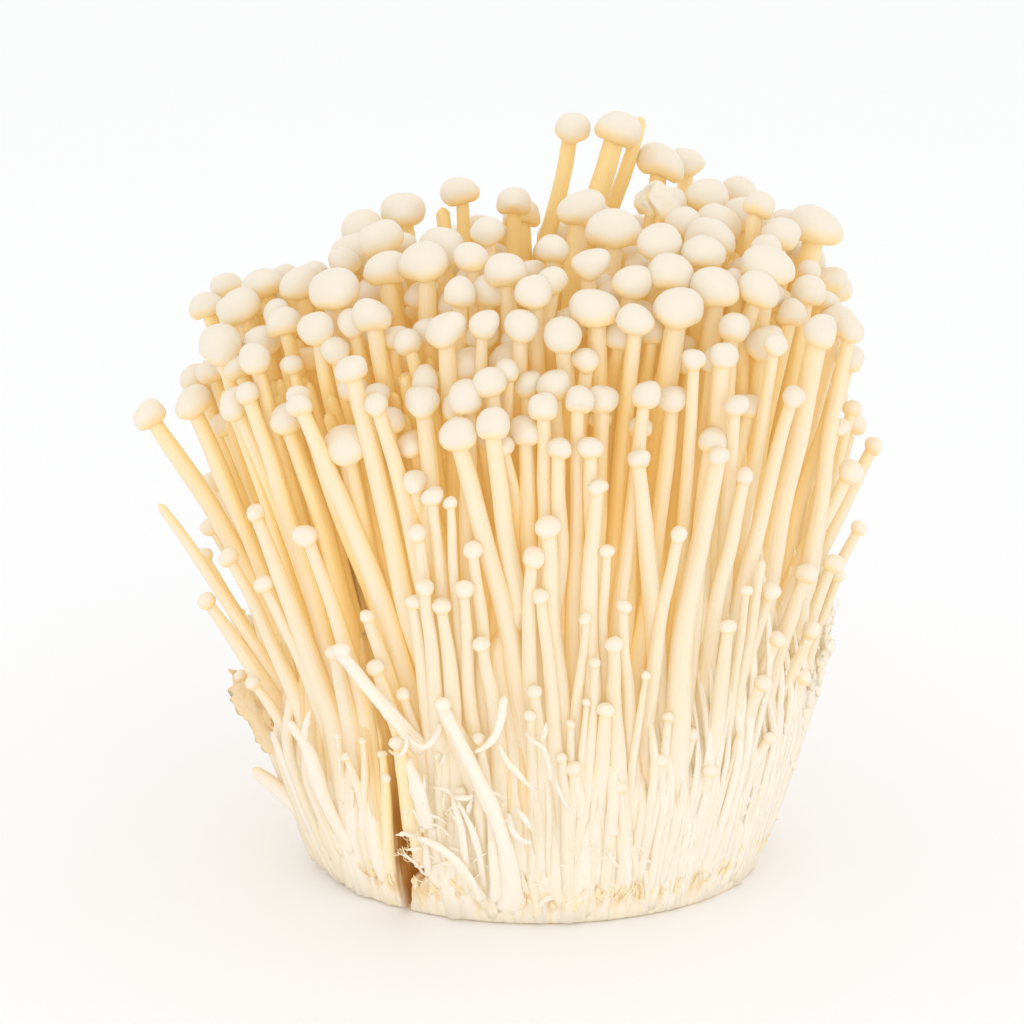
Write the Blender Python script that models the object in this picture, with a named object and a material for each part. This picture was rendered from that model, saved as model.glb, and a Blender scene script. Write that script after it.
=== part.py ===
"""Enoki mushroom bunch, standing on its cut foot.

The bunch is one growth that has parted at the foot into two tufts. Each tuft is one solid: a foot of
fused, ribbed stem bases, and the mushrooms that grow out of it. The tables and rules below are in
millimetres, with +X to the right, +Y to the back and +Z up from the middle of the cut face. The
meshes are made in metres.
"""

import math

import bmesh
import bpy
import numpy as np
from mathutils import Vector

MM = 0.001
SEED = 7

# Outer form: middle, half width and half depth at the cut face and where the fan of stems is widest.
FOOT_MIDDLE = 0.0
FAN_MIDDLE = -2.0
FOOT_HALF = (35.5, 29.4)
FAN_HALF = (53.0, 40.0)
FAN_TOP = 65.0
CROWN_HEIGHT = 106.0

# The two tufts part along a surface that runs back and to the right, and leans left as it rises.
PARTING_X = -22.0
PARTING_SKEW = 0.3
PARTING_LEAN = 20.0
PARTING_WAVE = 2.0
PARTING_GAP = 0.8
CLEFT_GAP = (1.2, 4.2)
CLEFT_REACH = 30.0

# The foot: where its ribbed wall ends, and the ribs round it.
ROOT_HEIGHT = 4.0
ROOT_SUNK = 10.0
WALL_TOP = 13.0
RIB_DEPTH = 0.9
RIB_WIDTH = 6.2
CUT_CHAMFER = 0.5

# The heart of crowded stems that have grown together: heights, and how far it lies inside the fan.
HEART_LEVELS = (27.0, 44.0, 62.0, 74.0)
HEART_INSETS = (6.5, 12.0, 17.0, 23.0)
HEART_RIB_DEPTH = 2.2
HEART_PARTING = 2.5
ROOT_CLEAR = 2.0

# Each tuft: its side of the parting, the middle of its cut face, and the top of its heart.
TUFTS = {
    "main_tuft": (1, (5.0, 0.0), (2.0, 0.0, 78.0)),
    "left_tuft": (-1, (-25.0, 1.0), (-32.0, -1.0, 66.0)),
}

# How the stems settle against each other.
SLIVER = 0.02
LEVEL = 3.0
SETTLE_ROUNDS = 70
FREE_HEIGHT = 24.0
PLANTED_GIVE = 0.35
GROWN_GIVE = 1.0

# Stems: how much wider they grow than they are under the cap. Some bend over in their last stretch.
STEM_SWELL = 1.14
HOOK_LENGTH = 28.0
HOOKS = {
    (5, 18, 116): (6.0, 0.0),
    (12, 16, 116): (8.0, 0.0),
    (16, 20, 117): (7.0, 0.0),
}

# Caps face outwards, the more the nearer they are to the outside, across and in depth.
FACING = (0.22, 0.36)
# Caps: height as a share of width, from the smallest round buttons to the open ones of the crown.
BUTTON_WIDTH = 2.5
BUTTON_SHARE = 0.86
OPEN_WIDTH = 7.5
OPEN_SHARE = 0.70

# Mushrooms placed one by one: root x, then the middle of the cap x, y, z, cap width, stem width.
CROWN = [
    (2, 5, 18, 116, 6.0, 2.5),
    (4, 12, 16, 116, 7.7, 3.4),
    (11, 19, 20, 110, 7.4, 2.9),
    (16, 24, 25, 109, 5.6, 2.6),
    (12, 18, 2, 107, 7.8, 3.0),
    (17, 26, 13, 106, 7.0, 2.8),
    (21, 32, 20, 105, 6.1, 2.7),
    (23, 33, 10, 103, 8.0, 3.1),
    (29, 43, 4, 103, 8.3, 3.6),
    (26, 38, 12, 102, 5.4, 2.8),
    (28, 41, -5, 98, 4.0, 2.6),
    (4, 6, -2, 107, 7.2, 3.0),
    (8, 11, -12, 106, 8.3, 3.0),
    (14, 18, -17, 105, 6.8, 2.7),
    (18, 26, -9, 104, 7.4, 2.8),
    (21, 26, -24, 100, 7.6, 2.9),
    (25, 34, -19, 102, 7.4, 3.0),
    (6, 7, -21, 103, 5.8, 2.5),
    (9, 13, -25, 101, 6.0, 2.4),
    (15, 19, -23, 102, 6.8, 2.6),
    (9, 8, -30, 98, 7.6, 2.9),
    (17, 19, -30, 98, 7.9, 3.3),
    (-2, -1, -28, 100, 5.7, 2.3),
    (-4, -5, -22, 102, 6.8, 2.5),
    (-10, -12, -24, 99, 5.2, 2.2),
    (-6, -8, -8, 105, 5.4, 2.3),
    (-3, -4, 9, 106, 5.4, 2.3),
    (-8, -12, 12, 107, 5.8, 2.1),
    (-12, -22, 11, 104, 7.1, 2.8),
    (-14, -24, -4, 103, 7.1, 2.7),
    (-18, -17, -17, 102, 7.8, 3.0),
    (-11, -14, -30, 95, 6.3, 2.6),
    (-3, -3, -31, 96, 5.7, 2.3),
    (5, 4, -32, 95, 6.3, 2.5),
    (9, 14, -31, 97, 5.3, 2.3),
    (24, 28, -28, 95, 5.1, 2.4),
    (31, 41, -27, 94, 5.6, 3.1),
    (34, 46, -22, 93, 4.4, 2.2),
    (-19, -31, 5, 99, 7.0, 3.1),
    (-17, -27, 9, 102, 6.9, 3.0),
    (-25, -43, 3, 94, 6.4, 2.8),
    (-19, -31, -17, 98, 8.1, 3.0),
    (-29, -46, -3, 92, 7.3, 2.9),
    (-30, -49, -9, 88, 7.6, 2.8),
    (-17, -25, -24, 96, 5.7, 2.6),
    (-27, -43, -19, 88, 5.1, 2.2),
    (-19, -36, -20, 93, 5.8, 2.5),
]
FRONT = [
    (20, 22, -36, 92, 3.6, 2.0),
    (29, 34, -31, 93, 3.7, 2.1),
    (25, 37, -30, 85, 3.6, 2.2),
    (9, 15, -37, 87, 4.5, 2.0),
    (25, 28, -35, 85, 3.6, 2.1),
    (-5, -5, -35, 90, 3.8, 1.9),
    (3, 2, -36, 88, 5.3, 2.2),
    (6, 5, -39, 87, 4.6, 2.1),
    (-5, -7, -37, 89, 4.9, 2.3),
    (-8, -11, -38, 87, 5.5, 2.3),
    (-13, -28, -33, 90, 4.8, 2.8),
    (-12, -35, -31, 84, 3.8, 2.8),
    (-9, -24, -35, 85, 3.7, 2.5),
    (-6, -19, -31, 78, 4.6, 2.1),
    (2, -12, -39, 82, 5.4, 2.6),
    (-10, -16, -38, 72, 3.2, 1.9),
    (-11, -18, -37, 66, 2.9, 2.1),
    (24, 30, -34, 74, 2.7, 2.2),
    (15, 20, -37, 66, 2.5, 1.9),
    (20, 14, -39, 78, 3.4, 2.6),
    (5, 7, -40, 80, 3.7, 2.3),
    (4, 1, -40, 68, 3.9, 2.6),
    (4, 0, -39, 57, 2.6, 1.9),
    (-8, -10, -39, 64, 2.9, 1.9),
    (-30, -54, -5, 77, 5.8, 2.5),
    (-31, -54, 4, 79, 5.3, 2.5),
    (-29, -61, -3, 75, 5.0, 2.7),
    (-27, -44, -21, 83, 3.7, 2.6),
    (-26, -43, -24, 65, 3.0, 2.5),
    (-28, -48, -14, 55, 3.1, 2.0),
    (29, 52, -4, 70, 3.2, 2.2),
    (31, 50, -5, 57, 2.6, 1.8),
    (32, 48, -8, 77, 3.0, 2.0),
]
LOW = [
    (15, 12, -38, 55, 2.3, 1.7),
    (24, 28, -33, 50, 2.5, 2.0),
    (12, 11, -37, 49, 2.8, 2.2),
    (3, -1, -36, 41, 2.3, 1.9),
    (7, 5, -34, 28, 2.8, 1.8),
    (18, 18, -31, 28, 2.2, 1.6),
    (25, 26, -28, 25, 2.2, 1.6),
    (-13, -19, -36, 55, 2.4, 1.8),
    (-6, -9, -37, 49, 2.6, 2.0),
    (-4, -14, -36, 37, 2.6, 2.8),
    (-15, -26, -31, 51, 2.3, 2.2),
    (-16, -20, -28, 19, 2.1, 1.5),
    (-26, -31, -27, 44, 2.5, 2.2),
    (-27, -42, -22, 53, 3.0, 2.1),
    (-29, -52, -8, 46, 3.0, 2.2),
]
# Stems whose caps broke off: root x, then the tip x, y, z, and the stem width.
CAPLESS = [
    (8, 16, 20, 117, 2.6),
    (-9, -15, 12, 104, 2.8),
    (-30, -59, -8, 61.5, 1.8),
    (-29, -48, -13, 81, 2.0),
    (-33, -46, -9, 18, 1.8),
]

# The rest of the bunch grows by rule: how many, and the cap and stem widths.
CROWN_GROWN = 46
CROWN_SPACING = 0.86
SIDE_GROWN = 44
SIDE_SPACING = 5.8
LOW_GROWN = 14
LOW_SPACING = 7.0
GROWN_TRIES = 6000

SKIN_COLOUR = (0.93, 0.80, 0.56, 1.0)
SKIN_ROUGHNESS = 0.42


def clear_scene():
    """Removes every object of the scene that this script is run in."""
    for obj in list(bpy.data.objects):
        bpy.data.objects.remove(obj)


def swell(z):
    """How far the bunch has opened at height z, from 0 to 1: straight growth mixed with a sine."""
    share = np.clip(np.asarray(z, float) / FAN_TOP, 0.0, 1.0)
    return 0.5 * share + 0.5 * np.sin(0.5 * math.pi * share)


def fan(z):
    """Half width and half depth of the bunch at height z."""
    return tuple(low + (high - low) * swell(z) for low, high in zip(FOOT_HALF, FAN_HALF))


def fan_middle(z):
    """X of the middle of the bunch at height z."""
    return FOOT_MIDDLE + (FAN_MIDDLE - FOOT_MIDDLE) * swell(z)


def crown_surface(x, y):
    """Height of the caps over a place in the plan: higher to the right, falling back and at the rim."""
    edge = math.hypot((x - FAN_MIDDLE) / FAN_HALF[0], y / FAN_HALF[1])
    fall = (0.004 if y < 5 else 0.012) * (y - 5) ** 2
    return CROWN_HEIGHT + 0.12 * x - fall - 22.0 * edge**6


def parting_x(y, z):
    """X of the surface between the two tufts at depth y and height z."""
    rise = np.clip((np.asarray(z, float) - CLEFT_REACH) / 70.0, 0.0, 1.0)
    wave = PARTING_WAVE * rise * np.sin(y / 8.0 + z / 30.0)
    return PARTING_X + PARTING_SKEW * (y + 28.0) - PARTING_LEAN * rise + wave


def parting_distance(x, y, z):
    """Signed distance in the plan from the parting surface, positive in the main tuft."""
    rise = np.clip((np.asarray(z, float) - CLEFT_REACH) / 70.0, 0.0, 1.0)
    slope = PARTING_SKEW + PARTING_WAVE / 8.0 * rise * np.cos(y / 8.0 + z / 30.0)
    return (x - parting_x(y, z)) / np.hypot(1.0, slope)


def cap_height(width):
    """Height of a cap of this width: small ones are round buttons, and wide ones are flatter."""
    share = np.interp(width, (BUTTON_WIDTH, OPEN_WIDTH), (BUTTON_SHARE, OPEN_SHARE))
    return width * share


def root_y(root_x, y, z):
    """Depth of a root: on the fan line of its cap, or nearer the front rim in the front half."""
    share = y / fan(z)[1]
    depth = FOOT_HALF[1] * (share if share > 0 else -abs(share) ** 0.6)
    edge = min(0.95, abs(root_x - FOOT_MIDDLE) / FOOT_HALF[0])
    most = 0.90 * FOOT_HALF[1] * math.sqrt(1.0 - edge**2)
    return max(-most, min(most, depth))


def rooted(row):
    """The row with its root moved, if need be, to the side of the parting that its cap is on."""
    side = np.sign(parting_distance(*row[2:5]))
    short = ROOT_CLEAR - side * parting_distance(row[0], row[1], ROOT_HEIGHT)
    return (row[0] + side * max(0.0, short) * 1.05, *row[1:])


def planted():
    """The mushrooms of the tables, as rows: root x and y, cap x, y and z, cap width, stem width, give."""
    rows = [(*row[:4], row[4], row[5]) for row in CROWN + FRONT + LOW]
    rows += [(*row[:4], 0.0, row[4]) for row in CAPLESS]
    return [
        rooted((rx, root_y(rx, y, z), x, y, z, cap, STEM_SWELL * stem, PLANTED_GIVE))
        for rx, x, y, z, cap, stem in rows
    ]


def grow(rows, count, draw, spacing):
    """Adds count mushrooms. draw gives a random one, and spacing how far it must stand from the others."""
    rng = np.random.default_rng(SEED + len(rows))
    target = len(rows) + count
    for _ in range(GROWN_TRIES):
        if len(rows) == target:
            break
        row = rooted(draw(rng))
        if abs(parting_distance(*row[2:5])) < 0.4 * row[5]:
            continue
        near = [spacing(row, other) for other in rows]
        if all(math.dist(row[2:5], rows[i][2:5]) > near[i] for i in range(len(rows))):
            rows.append(row)
    return rows


def crown_mushroom(rng):
    """A tall mushroom somewhere in the crown, with its root on the same fan line."""
    radius, turn = math.sqrt(rng.uniform(0.08, 0.88)), rng.random() * 2 * math.pi
    across, back = radius * math.cos(turn), radius * math.sin(turn)
    x, y = FAN_MIDDLE + FAN_HALF[0] * across, FAN_HALF[1] * back
    cap = float(np.clip(7.0 - 1.8 * radius**2 + rng.normal(0, 0.8), 4.2, 8.4))
    z = crown_surface(x, y) + rng.uniform(-6, 0)
    rx, ry = FOOT_MIDDLE + 0.9 * FOOT_HALF[0] * across, 0.9 * FOOT_HALF[1] * back
    stem = STEM_SWELL * (1.5 + 0.18 * cap + rng.normal(0, 0.12))
    return (rx, ry, x, y, z, cap, stem, GROWN_GIVE)


def side_mushroom(rng):
    """A smaller mushroom on the outside of the bunch, between a third and nine tenths of its height."""
    turn, z = rng.random() * 2 * math.pi, rng.uniform(30, 90)
    wide, deep = fan(z)
    reach = rng.uniform(0.92, 0.99)
    x, y = fan_middle(z) + wide * reach * math.cos(turn), deep * reach * math.sin(turn)
    cap = 2.0 + 2.6 * (z / 86) ** 2 + rng.uniform(-0.2, 0.5)
    turn += rng.normal(0, 0.10)
    rx, ry = 0.92 * FOOT_HALF[0] * math.cos(turn), 0.92 * FOOT_HALF[1] * math.sin(turn)
    return (FOOT_MIDDLE + rx, ry, x, y, z, cap, STEM_SWELL * (1.3 + 0.25 * cap), GROWN_GIVE)


def low_mushroom(rng):
    """A short mushroom at the rim of the foot."""
    turn, z = rng.random() * 2 * math.pi, rng.uniform(14, 36)
    wide, deep = (half + 0.4 for half in fan(z))
    x, y = fan_middle(z) + wide * math.cos(turn), deep * math.sin(turn)
    rx, ry = 0.94 * FOOT_HALF[0] * math.cos(turn), 0.94 * FOOT_HALF[1] * math.sin(turn)
    cap = rng.uniform(1.9, 2.6)
    return (FOOT_MIDDLE + rx, ry, x, y, z, cap, rng.uniform(1.4, 1.8), GROWN_GIVE)


def crown_gap(row, other):
    """Crown caps may nearly touch, and keep well clear of the small ones below them."""
    return CROWN_SPACING * 0.5 * (row[5] + other[5]) + (1.4 if other[4] > 80 else 0.0)


def all_mushrooms():
    """Every mushroom of the bunch, as one array of rows."""
    rows = planted()
    grow(rows, CROWN_GROWN, crown_mushroom, crown_gap)
    grow(rows, SIDE_GROWN, side_mushroom, lambda row, other: SIDE_SPACING)
    grow(rows, LOW_GROWN, low_mushroom, lambda row, other: LOW_SPACING)
    return np.array(rows)


def stem_share(share):
    """Stem width along its length, from root to neck: widest a little above the middle, slim neck."""
    return np.interp(share, (0.0, 0.25, 0.6, 0.86, 1.0), (0.82, 0.92, 1.0, 0.86, 0.70))


class Bunch:
    """The mushrooms' centre lines, settled so that stems and caps lie beside each other."""

    def __init__(self, rows):
        self.root, self.top = rows[:, :2], rows[:, 2:5]
        self.cap, self.stem, self.give = rows[:, 5], rows[:, 6], rows[:, 7]
        self.side = np.sign(parting_distance(*rows[:, 2:5].T))
        rng = np.random.default_rng(SEED)
        self.bow = rng.normal(0.0, 0.9, (len(rows), 2)) * (self.top[:, 2:] / 100)
        facing = (self.top[:, :2] - np.array([FAN_MIDDLE, 0.0])) / FAN_HALF * FACING
        self.tilt = facing + rng.normal(0.0, 0.14, (len(rows), 2))
        self.hook = np.array([HOOKS.get(tuple(top), (0.0, 0.0)) for top in self.top])
        self.phase = rng.random(len(rows)) * 2 * math.pi
        self.levels = np.arange(0.0, self.top[:, 2].max() + 2 * LEVEL, LEVEL)
        self.shift = np.zeros((len(rows), len(self.levels), 2))
        self.settle()

    def line(self, i, z):
        """The unsettled centre line of mushroom i at height z: it leans out more as it rises."""
        share = (np.asarray(z, float) - ROOT_HEIGHT) / (self.top[i, 2] - ROOT_HEIGHT)
        share = np.clip(share, 0.0, 1.1)[..., None]
        lean = 0.62 * share + 0.38 * share**2
        below = np.clip((self.top[i, 2] - np.asarray(z, float)) / HOOK_LENGTH, 0.0, 1.0)[..., None]
        return (
            self.root[i]
            + (self.top[i, :2] - self.root[i]) * lean
            + self.bow[i] * np.sin(math.pi * share)
            - self.hook[i] * below**1.5 * np.minimum(2.0 * share, 1.0)
        )

    def radii(self):
        """Radius of each mushroom at each level: stem, or cap within the cap's height. 0 above it."""
        z, top = self.levels[None, :], self.top[:, 2:3]
        half = np.maximum(0.5 * cap_height(self.cap), 0.55 * LEVEL)[:, None]
        share = (z - ROOT_HEIGHT) / (top - ROOT_HEIGHT)
        stem = 0.5 * self.stem[:, None] * stem_share(share)
        inside = np.abs(z - top) <= half
        found = np.where(z < top, stem, 0.0)
        return np.where(inside, np.maximum(0.48 * self.cap[:, None], found), found)

    def settle(self):
        """Pushes overlapping circles of each level apart, and evens the shifts along each stem."""
        count = len(self.cap)
        rest = np.stack([self.line(i, self.levels) for i in range(count)])
        radii = self.radii()
        last = (radii > 0).sum(axis=1) - 1
        held = np.minimum(np.arange(len(self.levels))[None, :], last[:, None])
        free = np.clip((self.levels - FREE_HEIGHT) / 12.0, 0.0, 1.0)
        for _ in range(SETTLE_ROUNDS):
            place = rest + self.shift
            for k, z in enumerate(self.levels):
                here = np.flatnonzero(radii[:, k] > 0)
                if free[k] > 0 and len(here) > 1:
                    self.push(place, radii, here, k, free[k])
                self.keep_side(place, radii, here, k, z)
            self.shift = (place - rest) * 0.99
            self.shift = np.take_along_axis(self.shift, held[..., None], axis=1)
            around = 0.5 * (self.shift[:, :-2] + self.shift[:, 2:])
            self.shift[:, 1:-1] += 0.4 * (around - self.shift[:, 1:-1])

    def push(self, place, radii, here, k, share):
        """Moves the circles of one level apart where they overlap, the freer one further."""
        points, radius, give = place[here, k], radii[here, k], self.give[here]
        away = points[:, None] - points[None, :]
        far = np.hypot(away[..., 0], away[..., 1]) + np.eye(len(here)) * 1e3
        over = np.clip(radius[:, None] + radius[None, :] + 0.15 - far, 0.0, None)
        part = give[:, None] / (give[:, None] + give[None, :])
        step = (over * part / np.maximum(far, 0.05))[..., None] * away
        place[here, k] += 0.7 * share * np.clip(step.sum(axis=1), -1.5, 1.5)

    def keep_side(self, place, radii, here, k, z):
        """Holds every circle of one level on its own side of the parting."""
        points, side = place[here, k], self.side[here]
        clear = side * parting_distance(points[:, 0], points[:, 1], z)
        short = np.clip(1.1 * radii[here, k] + 0.5 * PARTING_GAP - clear, 0.0, None)
        normal = np.array([1.0, -PARTING_SKEW]) / math.hypot(1.0, PARTING_SKEW)
        place[here, k] += (side * short)[:, None] * normal

    def centre(self, i, z):
        """The settled centre line of mushroom i at height z, as 3-D points."""
        z = np.atleast_1d(np.asarray(z, float))
        moved = [np.interp(z, self.levels, self.shift[i, :, axis]) for axis in (0, 1)]
        return np.column_stack([self.line(i, z) + np.stack(moved, axis=-1), z])


def heart_levels(heart_top):
    """The heart's ring heights and insets that lie below its top."""
    kept = [(z, inset) for z, inset in zip(HEART_LEVELS, HEART_INSETS) if z < heart_top]
    return zip(*kept)


def start_height(bunch, i, neck, heart_top):
    """Height where stem i begins: its root, or a little below where it comes out of the heart."""
    levels, _ = heart_levels(heart_top)
    heights = np.arange(ROOT_HEIGHT, min(neck - 4.0, levels[-1]), 2.0)
    x, y, _ = bunch.centre(i, heights).T
    inset = np.interp(heights, HEART_LEVELS, HEART_INSETS) + 2.0
    wide, deep = fan(heights)
    inside = np.hypot((x - fan_middle(heights)) / (wide - inset), y / (deep - inset)) < 1.0
    inside &= bunch.side[i] * parting_distance(x, y, heights) > HEART_PARTING + 2.0
    inside &= heights > HEART_LEVELS[0]
    sunk = ROOT_HEIGHT if bunch.top[i, 2] < 40 else ROOT_SUNK
    return heights[inside].max() if inside.any() else sunk


def rings_of(bunch, i, heart_top):
    """Ring middles, radii and axes of mushroom i, from the root up to the last ring below its pole."""
    top, cap, stem = bunch.top[i, 2], bunch.cap[i], bunch.stem[i]
    high = cap_height(cap) if cap else 1.2
    neck = top - 0.40 * high
    start = start_height(bunch, i, neck, heart_top)
    bends = 2 if neck - start < 28 or cap < 4.0 and bunch.give[i] == GROWN_GIVE else 3
    heights = np.linspace(start, neck, bends)
    shares = (heights - ROOT_HEIGHT) / (neck - ROOT_HEIGHT)
    middles = bunch.centre(i, heights)
    radii = 0.5 * stem * stem_share(shares)
    axes = np.gradient(middles, axis=0)
    axes /= np.linalg.norm(axes, axis=1)[:, None]
    axis = axes[-1] + np.array([*bunch.tilt[i], 0.25])
    axis /= np.linalg.norm(axis)
    if not cap:
        profile = [(0.42 * stem, 0.5)]
    elif cap > 6.6:
        profile = [(0.44 * cap, -0.10), (0.50 * cap, 0.24), (0.34 * cap, 0.78)]
    else:
        profile = [(0.50 * cap, 0.20), (0.36 * cap, 0.74)]
    middles = np.vstack([middles, [middles[-1] + axis * high * up for _, up in profile]])
    radii = np.append(radii, [radius for radius, _ in profile])
    axes = np.vstack([axes, [axis] * len(profile)])
    pole = middles[len(shares) - 1] + axis * high
    return middles, radii, axes, pole


def ring_points(middle, radius, axis, sides, phase):
    """Points of a ring round axis, with its first point turned by phase from +X."""
    across = np.array([1.0, 0.0, 0.0]) - axis[0] * axis
    across /= np.linalg.norm(across)
    along = np.cross(axis, across)
    turn = phase + np.arange(sides) * 2 * math.pi / sides
    return middle + radius * (np.outer(np.cos(turn), across) + np.outer(np.sin(turn), along))


def lofted(name, rings, low_pole, high_pole):
    """A closed mesh through rings of equal count, from low_pole up to high_pole, in millimetres."""
    sides = len(rings[0])
    points = np.vstack([*rings, low_pole, high_pole]) * MM
    low, high = len(points) - 2, len(points) - 1
    last = (len(rings) - 1) * sides
    faces = []
    for j in range(sides):
        after = (j + 1) % sides
        faces.append((low, after, j))
        faces.append((high, last + j, last + after))
        for start in range(0, last, sides):
            faces.append((start + j, start + after, start + sides + after, start + sides + j))
    mesh = bpy.data.meshes.new(name)
    mesh.from_pydata([Vector(p) for p in points], [], faces)
    return mesh


def mushroom_mesh(bunch, i, heart_top):
    """One mushroom or capless stem: a bent tube of five or six sides with its cap."""
    middles, radii, axes, pole = rings_of(bunch, i, heart_top)
    sides = 6 if bunch.cap[i] > 5.5 else 5
    rings = [
        ring_points(middle, radius, axis, sides, bunch.phase[i])
        for middle, radius, axis in zip(middles, radii, axes)
    ]
    return lofted(f"mushroom_{i}", rings, middles[0] - axes[0] * 0.5, pole)


def foot_ring(side, middle, turn, z, inset, clear):
    """One ring of a foot round middle: the fan's ellipse less inset, kept clear of the parting."""
    wide, deep = (half - inset for half in fan(z))
    dx, dy = np.cos(turn), np.sin(turn)
    reach = np.arange(0.0, 1.0, 0.002)[:, None] * 2.2 * FAN_HALF[0]
    x, y = middle[0] + reach * dx, middle[1] + reach * dy
    inside = np.hypot((x - fan_middle(z)) / wide, y / deep) < 1.0
    # The cleft is open at the front, more so above the cut, and closes towards the back.
    front = np.clip(-y / FOOT_HALF[1], 0.0, 1.0)
    opening = np.interp(z, (0.0, 8.0, CLEFT_REACH), (*CLEFT_GAP, PARTING_GAP))
    gap = 0.5 * (PARTING_GAP + (opening - PARTING_GAP) * front) + clear
    inside &= side * parting_distance(x, y, z) > gap
    outside = np.argmin(inside, axis=0)
    return reach[outside - 1, 0]


def foot_mesh(name, side, low, high):
    """The foot and heart of one tuft: a flat cut face, a ribbed wall, and the crowded stems inside.

    The rings are drawn round a line from low, in the cut face, to high, at the top of the heart.
    """
    low, high = np.array([*low, 0.0]), np.array(high)
    around = math.pi * sum(FOOT_HALF) * (0.8 if side > 0 else 0.48)
    ribs = round(around / RIB_WIDTH)
    turn = np.arange(2 * ribs) * math.pi / ribs
    rng = np.random.default_rng(SEED + ribs)
    groove = np.where(np.arange(2 * ribs) % 2, rng.uniform(0.6, 1.4, 2 * ribs), 0.0)
    # Each ring: its height, how far it lies inside the fan and behind the parting, and its rib depth.
    profile = [
        (0.0, CUT_CHAMFER, CUT_CHAMFER, RIB_DEPTH),
        (1.5, 0.0, 0.0, RIB_DEPTH),
        (WALL_TOP, 0.0, 0.2, RIB_DEPTH),
    ]
    profile += [
        (z, inset, HEART_PARTING * min(1.0, (z - WALL_TOP) / 20.0), HEART_RIB_DEPTH)
        for z, inset in zip(*heart_levels(high[2]))
    ]
    rings = []
    for z, inset, clear, depth in profile:
        middle = low + (high - low) * z / high[2]
        radius = foot_ring(side, middle, turn, z, inset, clear) - depth * groove
        x, y = middle[0] + radius * np.cos(turn), middle[1] + radius * np.sin(turn)
        rough = 2.5 * rng.uniform(-1, 1, len(turn)) if z > 2 else 0.0
        rings.append(np.column_stack([x, y, z + rough * np.ones(len(turn))]))
    return lofted(name, rings, low, high)


def skin(name):
    """The pale cream skin that the stems, caps and foot of a tuft share."""
    material = bpy.data.materials.new(name)
    material.use_nodes = True
    shader = material.node_tree.nodes["Principled BSDF"]
    shader.inputs["Base Color"].default_value = SKIN_COLOUR
    shader.inputs["Roughness"].default_value = SKIN_ROUGHNESS
    return material


def turn_diagonal(made, edge, pair):
    """Gives two flat neighbouring triangles the other diagonal. False if that edge exists already."""
    first, second = pair
    tips = [next(v for v in face.verts if v not in edge.verts) for face in pair]
    if made.edges.get(tips):
        return False
    corners = list(first.verts)
    at = corners.index(tips[0])
    start, end = corners[at - 2], corners[at - 1]
    normal = first.normal.copy()
    made.faces.remove(first)
    made.faces.remove(second)
    for three in ((start, tips[1], tips[0]), (tips[1], end, tips[0])):
        made.faces.new(three).normal_update()
    return normal.length > 0


def triangulated(mesh):
    """The mesh in triangles, with slivers merged and no edge shared by more than two faces."""
    made = bmesh.new()
    made.from_mesh(mesh)
    bmesh.ops.remove_doubles(made, verts=made.verts, dist=SLIVER * MM)
    owner = made.faces.layers.int.new("owner")
    for i, face in enumerate(made.faces):
        face[owner] = i
    bmesh.ops.triangulate(made, faces=made.faces)
    for edge in [e for e in made.edges if len(e.link_faces) > 2]:
        for key in sorted({face[owner] for face in edge.link_faces}):
            pair = [face for face in edge.link_faces if face[owner] == key]
            if len(pair) == 2 and turn_diagonal(made, edge, pair):
                break
    done = bpy.data.meshes.new(mesh.name + "_triangles")
    made.to_mesh(done)
    made.free()
    return done


def outer_shell(mesh):
    """Keeps the largest shell of a mesh, so that sealed hollows are filled and loose scraps dropped."""
    neighbours = {v.index: [] for v in mesh.vertices}
    for edge in mesh.edges:
        a, b = edge.vertices
        neighbours[a].append(b)
        neighbours[b].append(a)
    shells, seen = [], set()
    for start in neighbours:
        if start in seen:
            continue
        shell, todo = {start}, [start]
        while todo:
            for other in neighbours[todo.pop()]:
                if other not in shell:
                    shell.add(other)
                    todo.append(other)
        seen |= shell
        shells.append(shell)
    keep = max(shells, key=len)
    order = {old: new for new, old in enumerate(sorted(keep))}
    points = [mesh.vertices[i].co.copy() for i in sorted(keep)]
    faces = [[order[i] for i in p.vertices] for p in mesh.polygons if p.vertices[0] in keep]
    made = bpy.data.meshes.new(mesh.name + "_shell")
    made.from_pydata(points, [], faces)
    return made


def fuse(name, foot, meshes):
    """One solid of a foot and all the mushrooms rooted in it, by a Boolean union on a collection."""
    body = bpy.data.objects.new(name, foot)
    bpy.context.scene.collection.objects.link(body)
    growths = bpy.data.collections.new(name + "_growths")
    for mesh in meshes:
        growths.objects.link(bpy.data.objects.new(mesh.name, mesh))
    union = body.modifiers.new("fuse", "BOOLEAN")
    union.operation = "UNION"
    union.operand_type = "COLLECTION"
    union.collection = growths
    union.solver = "MANIFOLD"
    bpy.context.view_layer.update()
    graph = bpy.context.evaluated_depsgraph_get()
    fused = bpy.data.meshes.new_from_object(body.evaluated_get(graph))
    body.modifiers.remove(union)
    for obj in list(growths.objects):
        bpy.data.objects.remove(obj)
    bpy.data.collections.remove(growths)
    body.data = triangulated(outer_shell(fused))
    body.data.name = name
    body.data.materials.append(skin(name + "_skin"))
    body.data.shade_smooth()
    body.data.set_sharp_from_angle(angle=math.radians(50))
    return body


def main():
    """Builds the two tufts."""
    clear_scene()
    bunch = Bunch(all_mushrooms())
    for name, (side, low, high) in TUFTS.items():
        members = np.flatnonzero(bunch.side == side)
        meshes = [mushroom_mesh(bunch, i, high[2]) for i in members]
        fuse(name, foot_mesh(name, side, low, high), meshes)


main()
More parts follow.
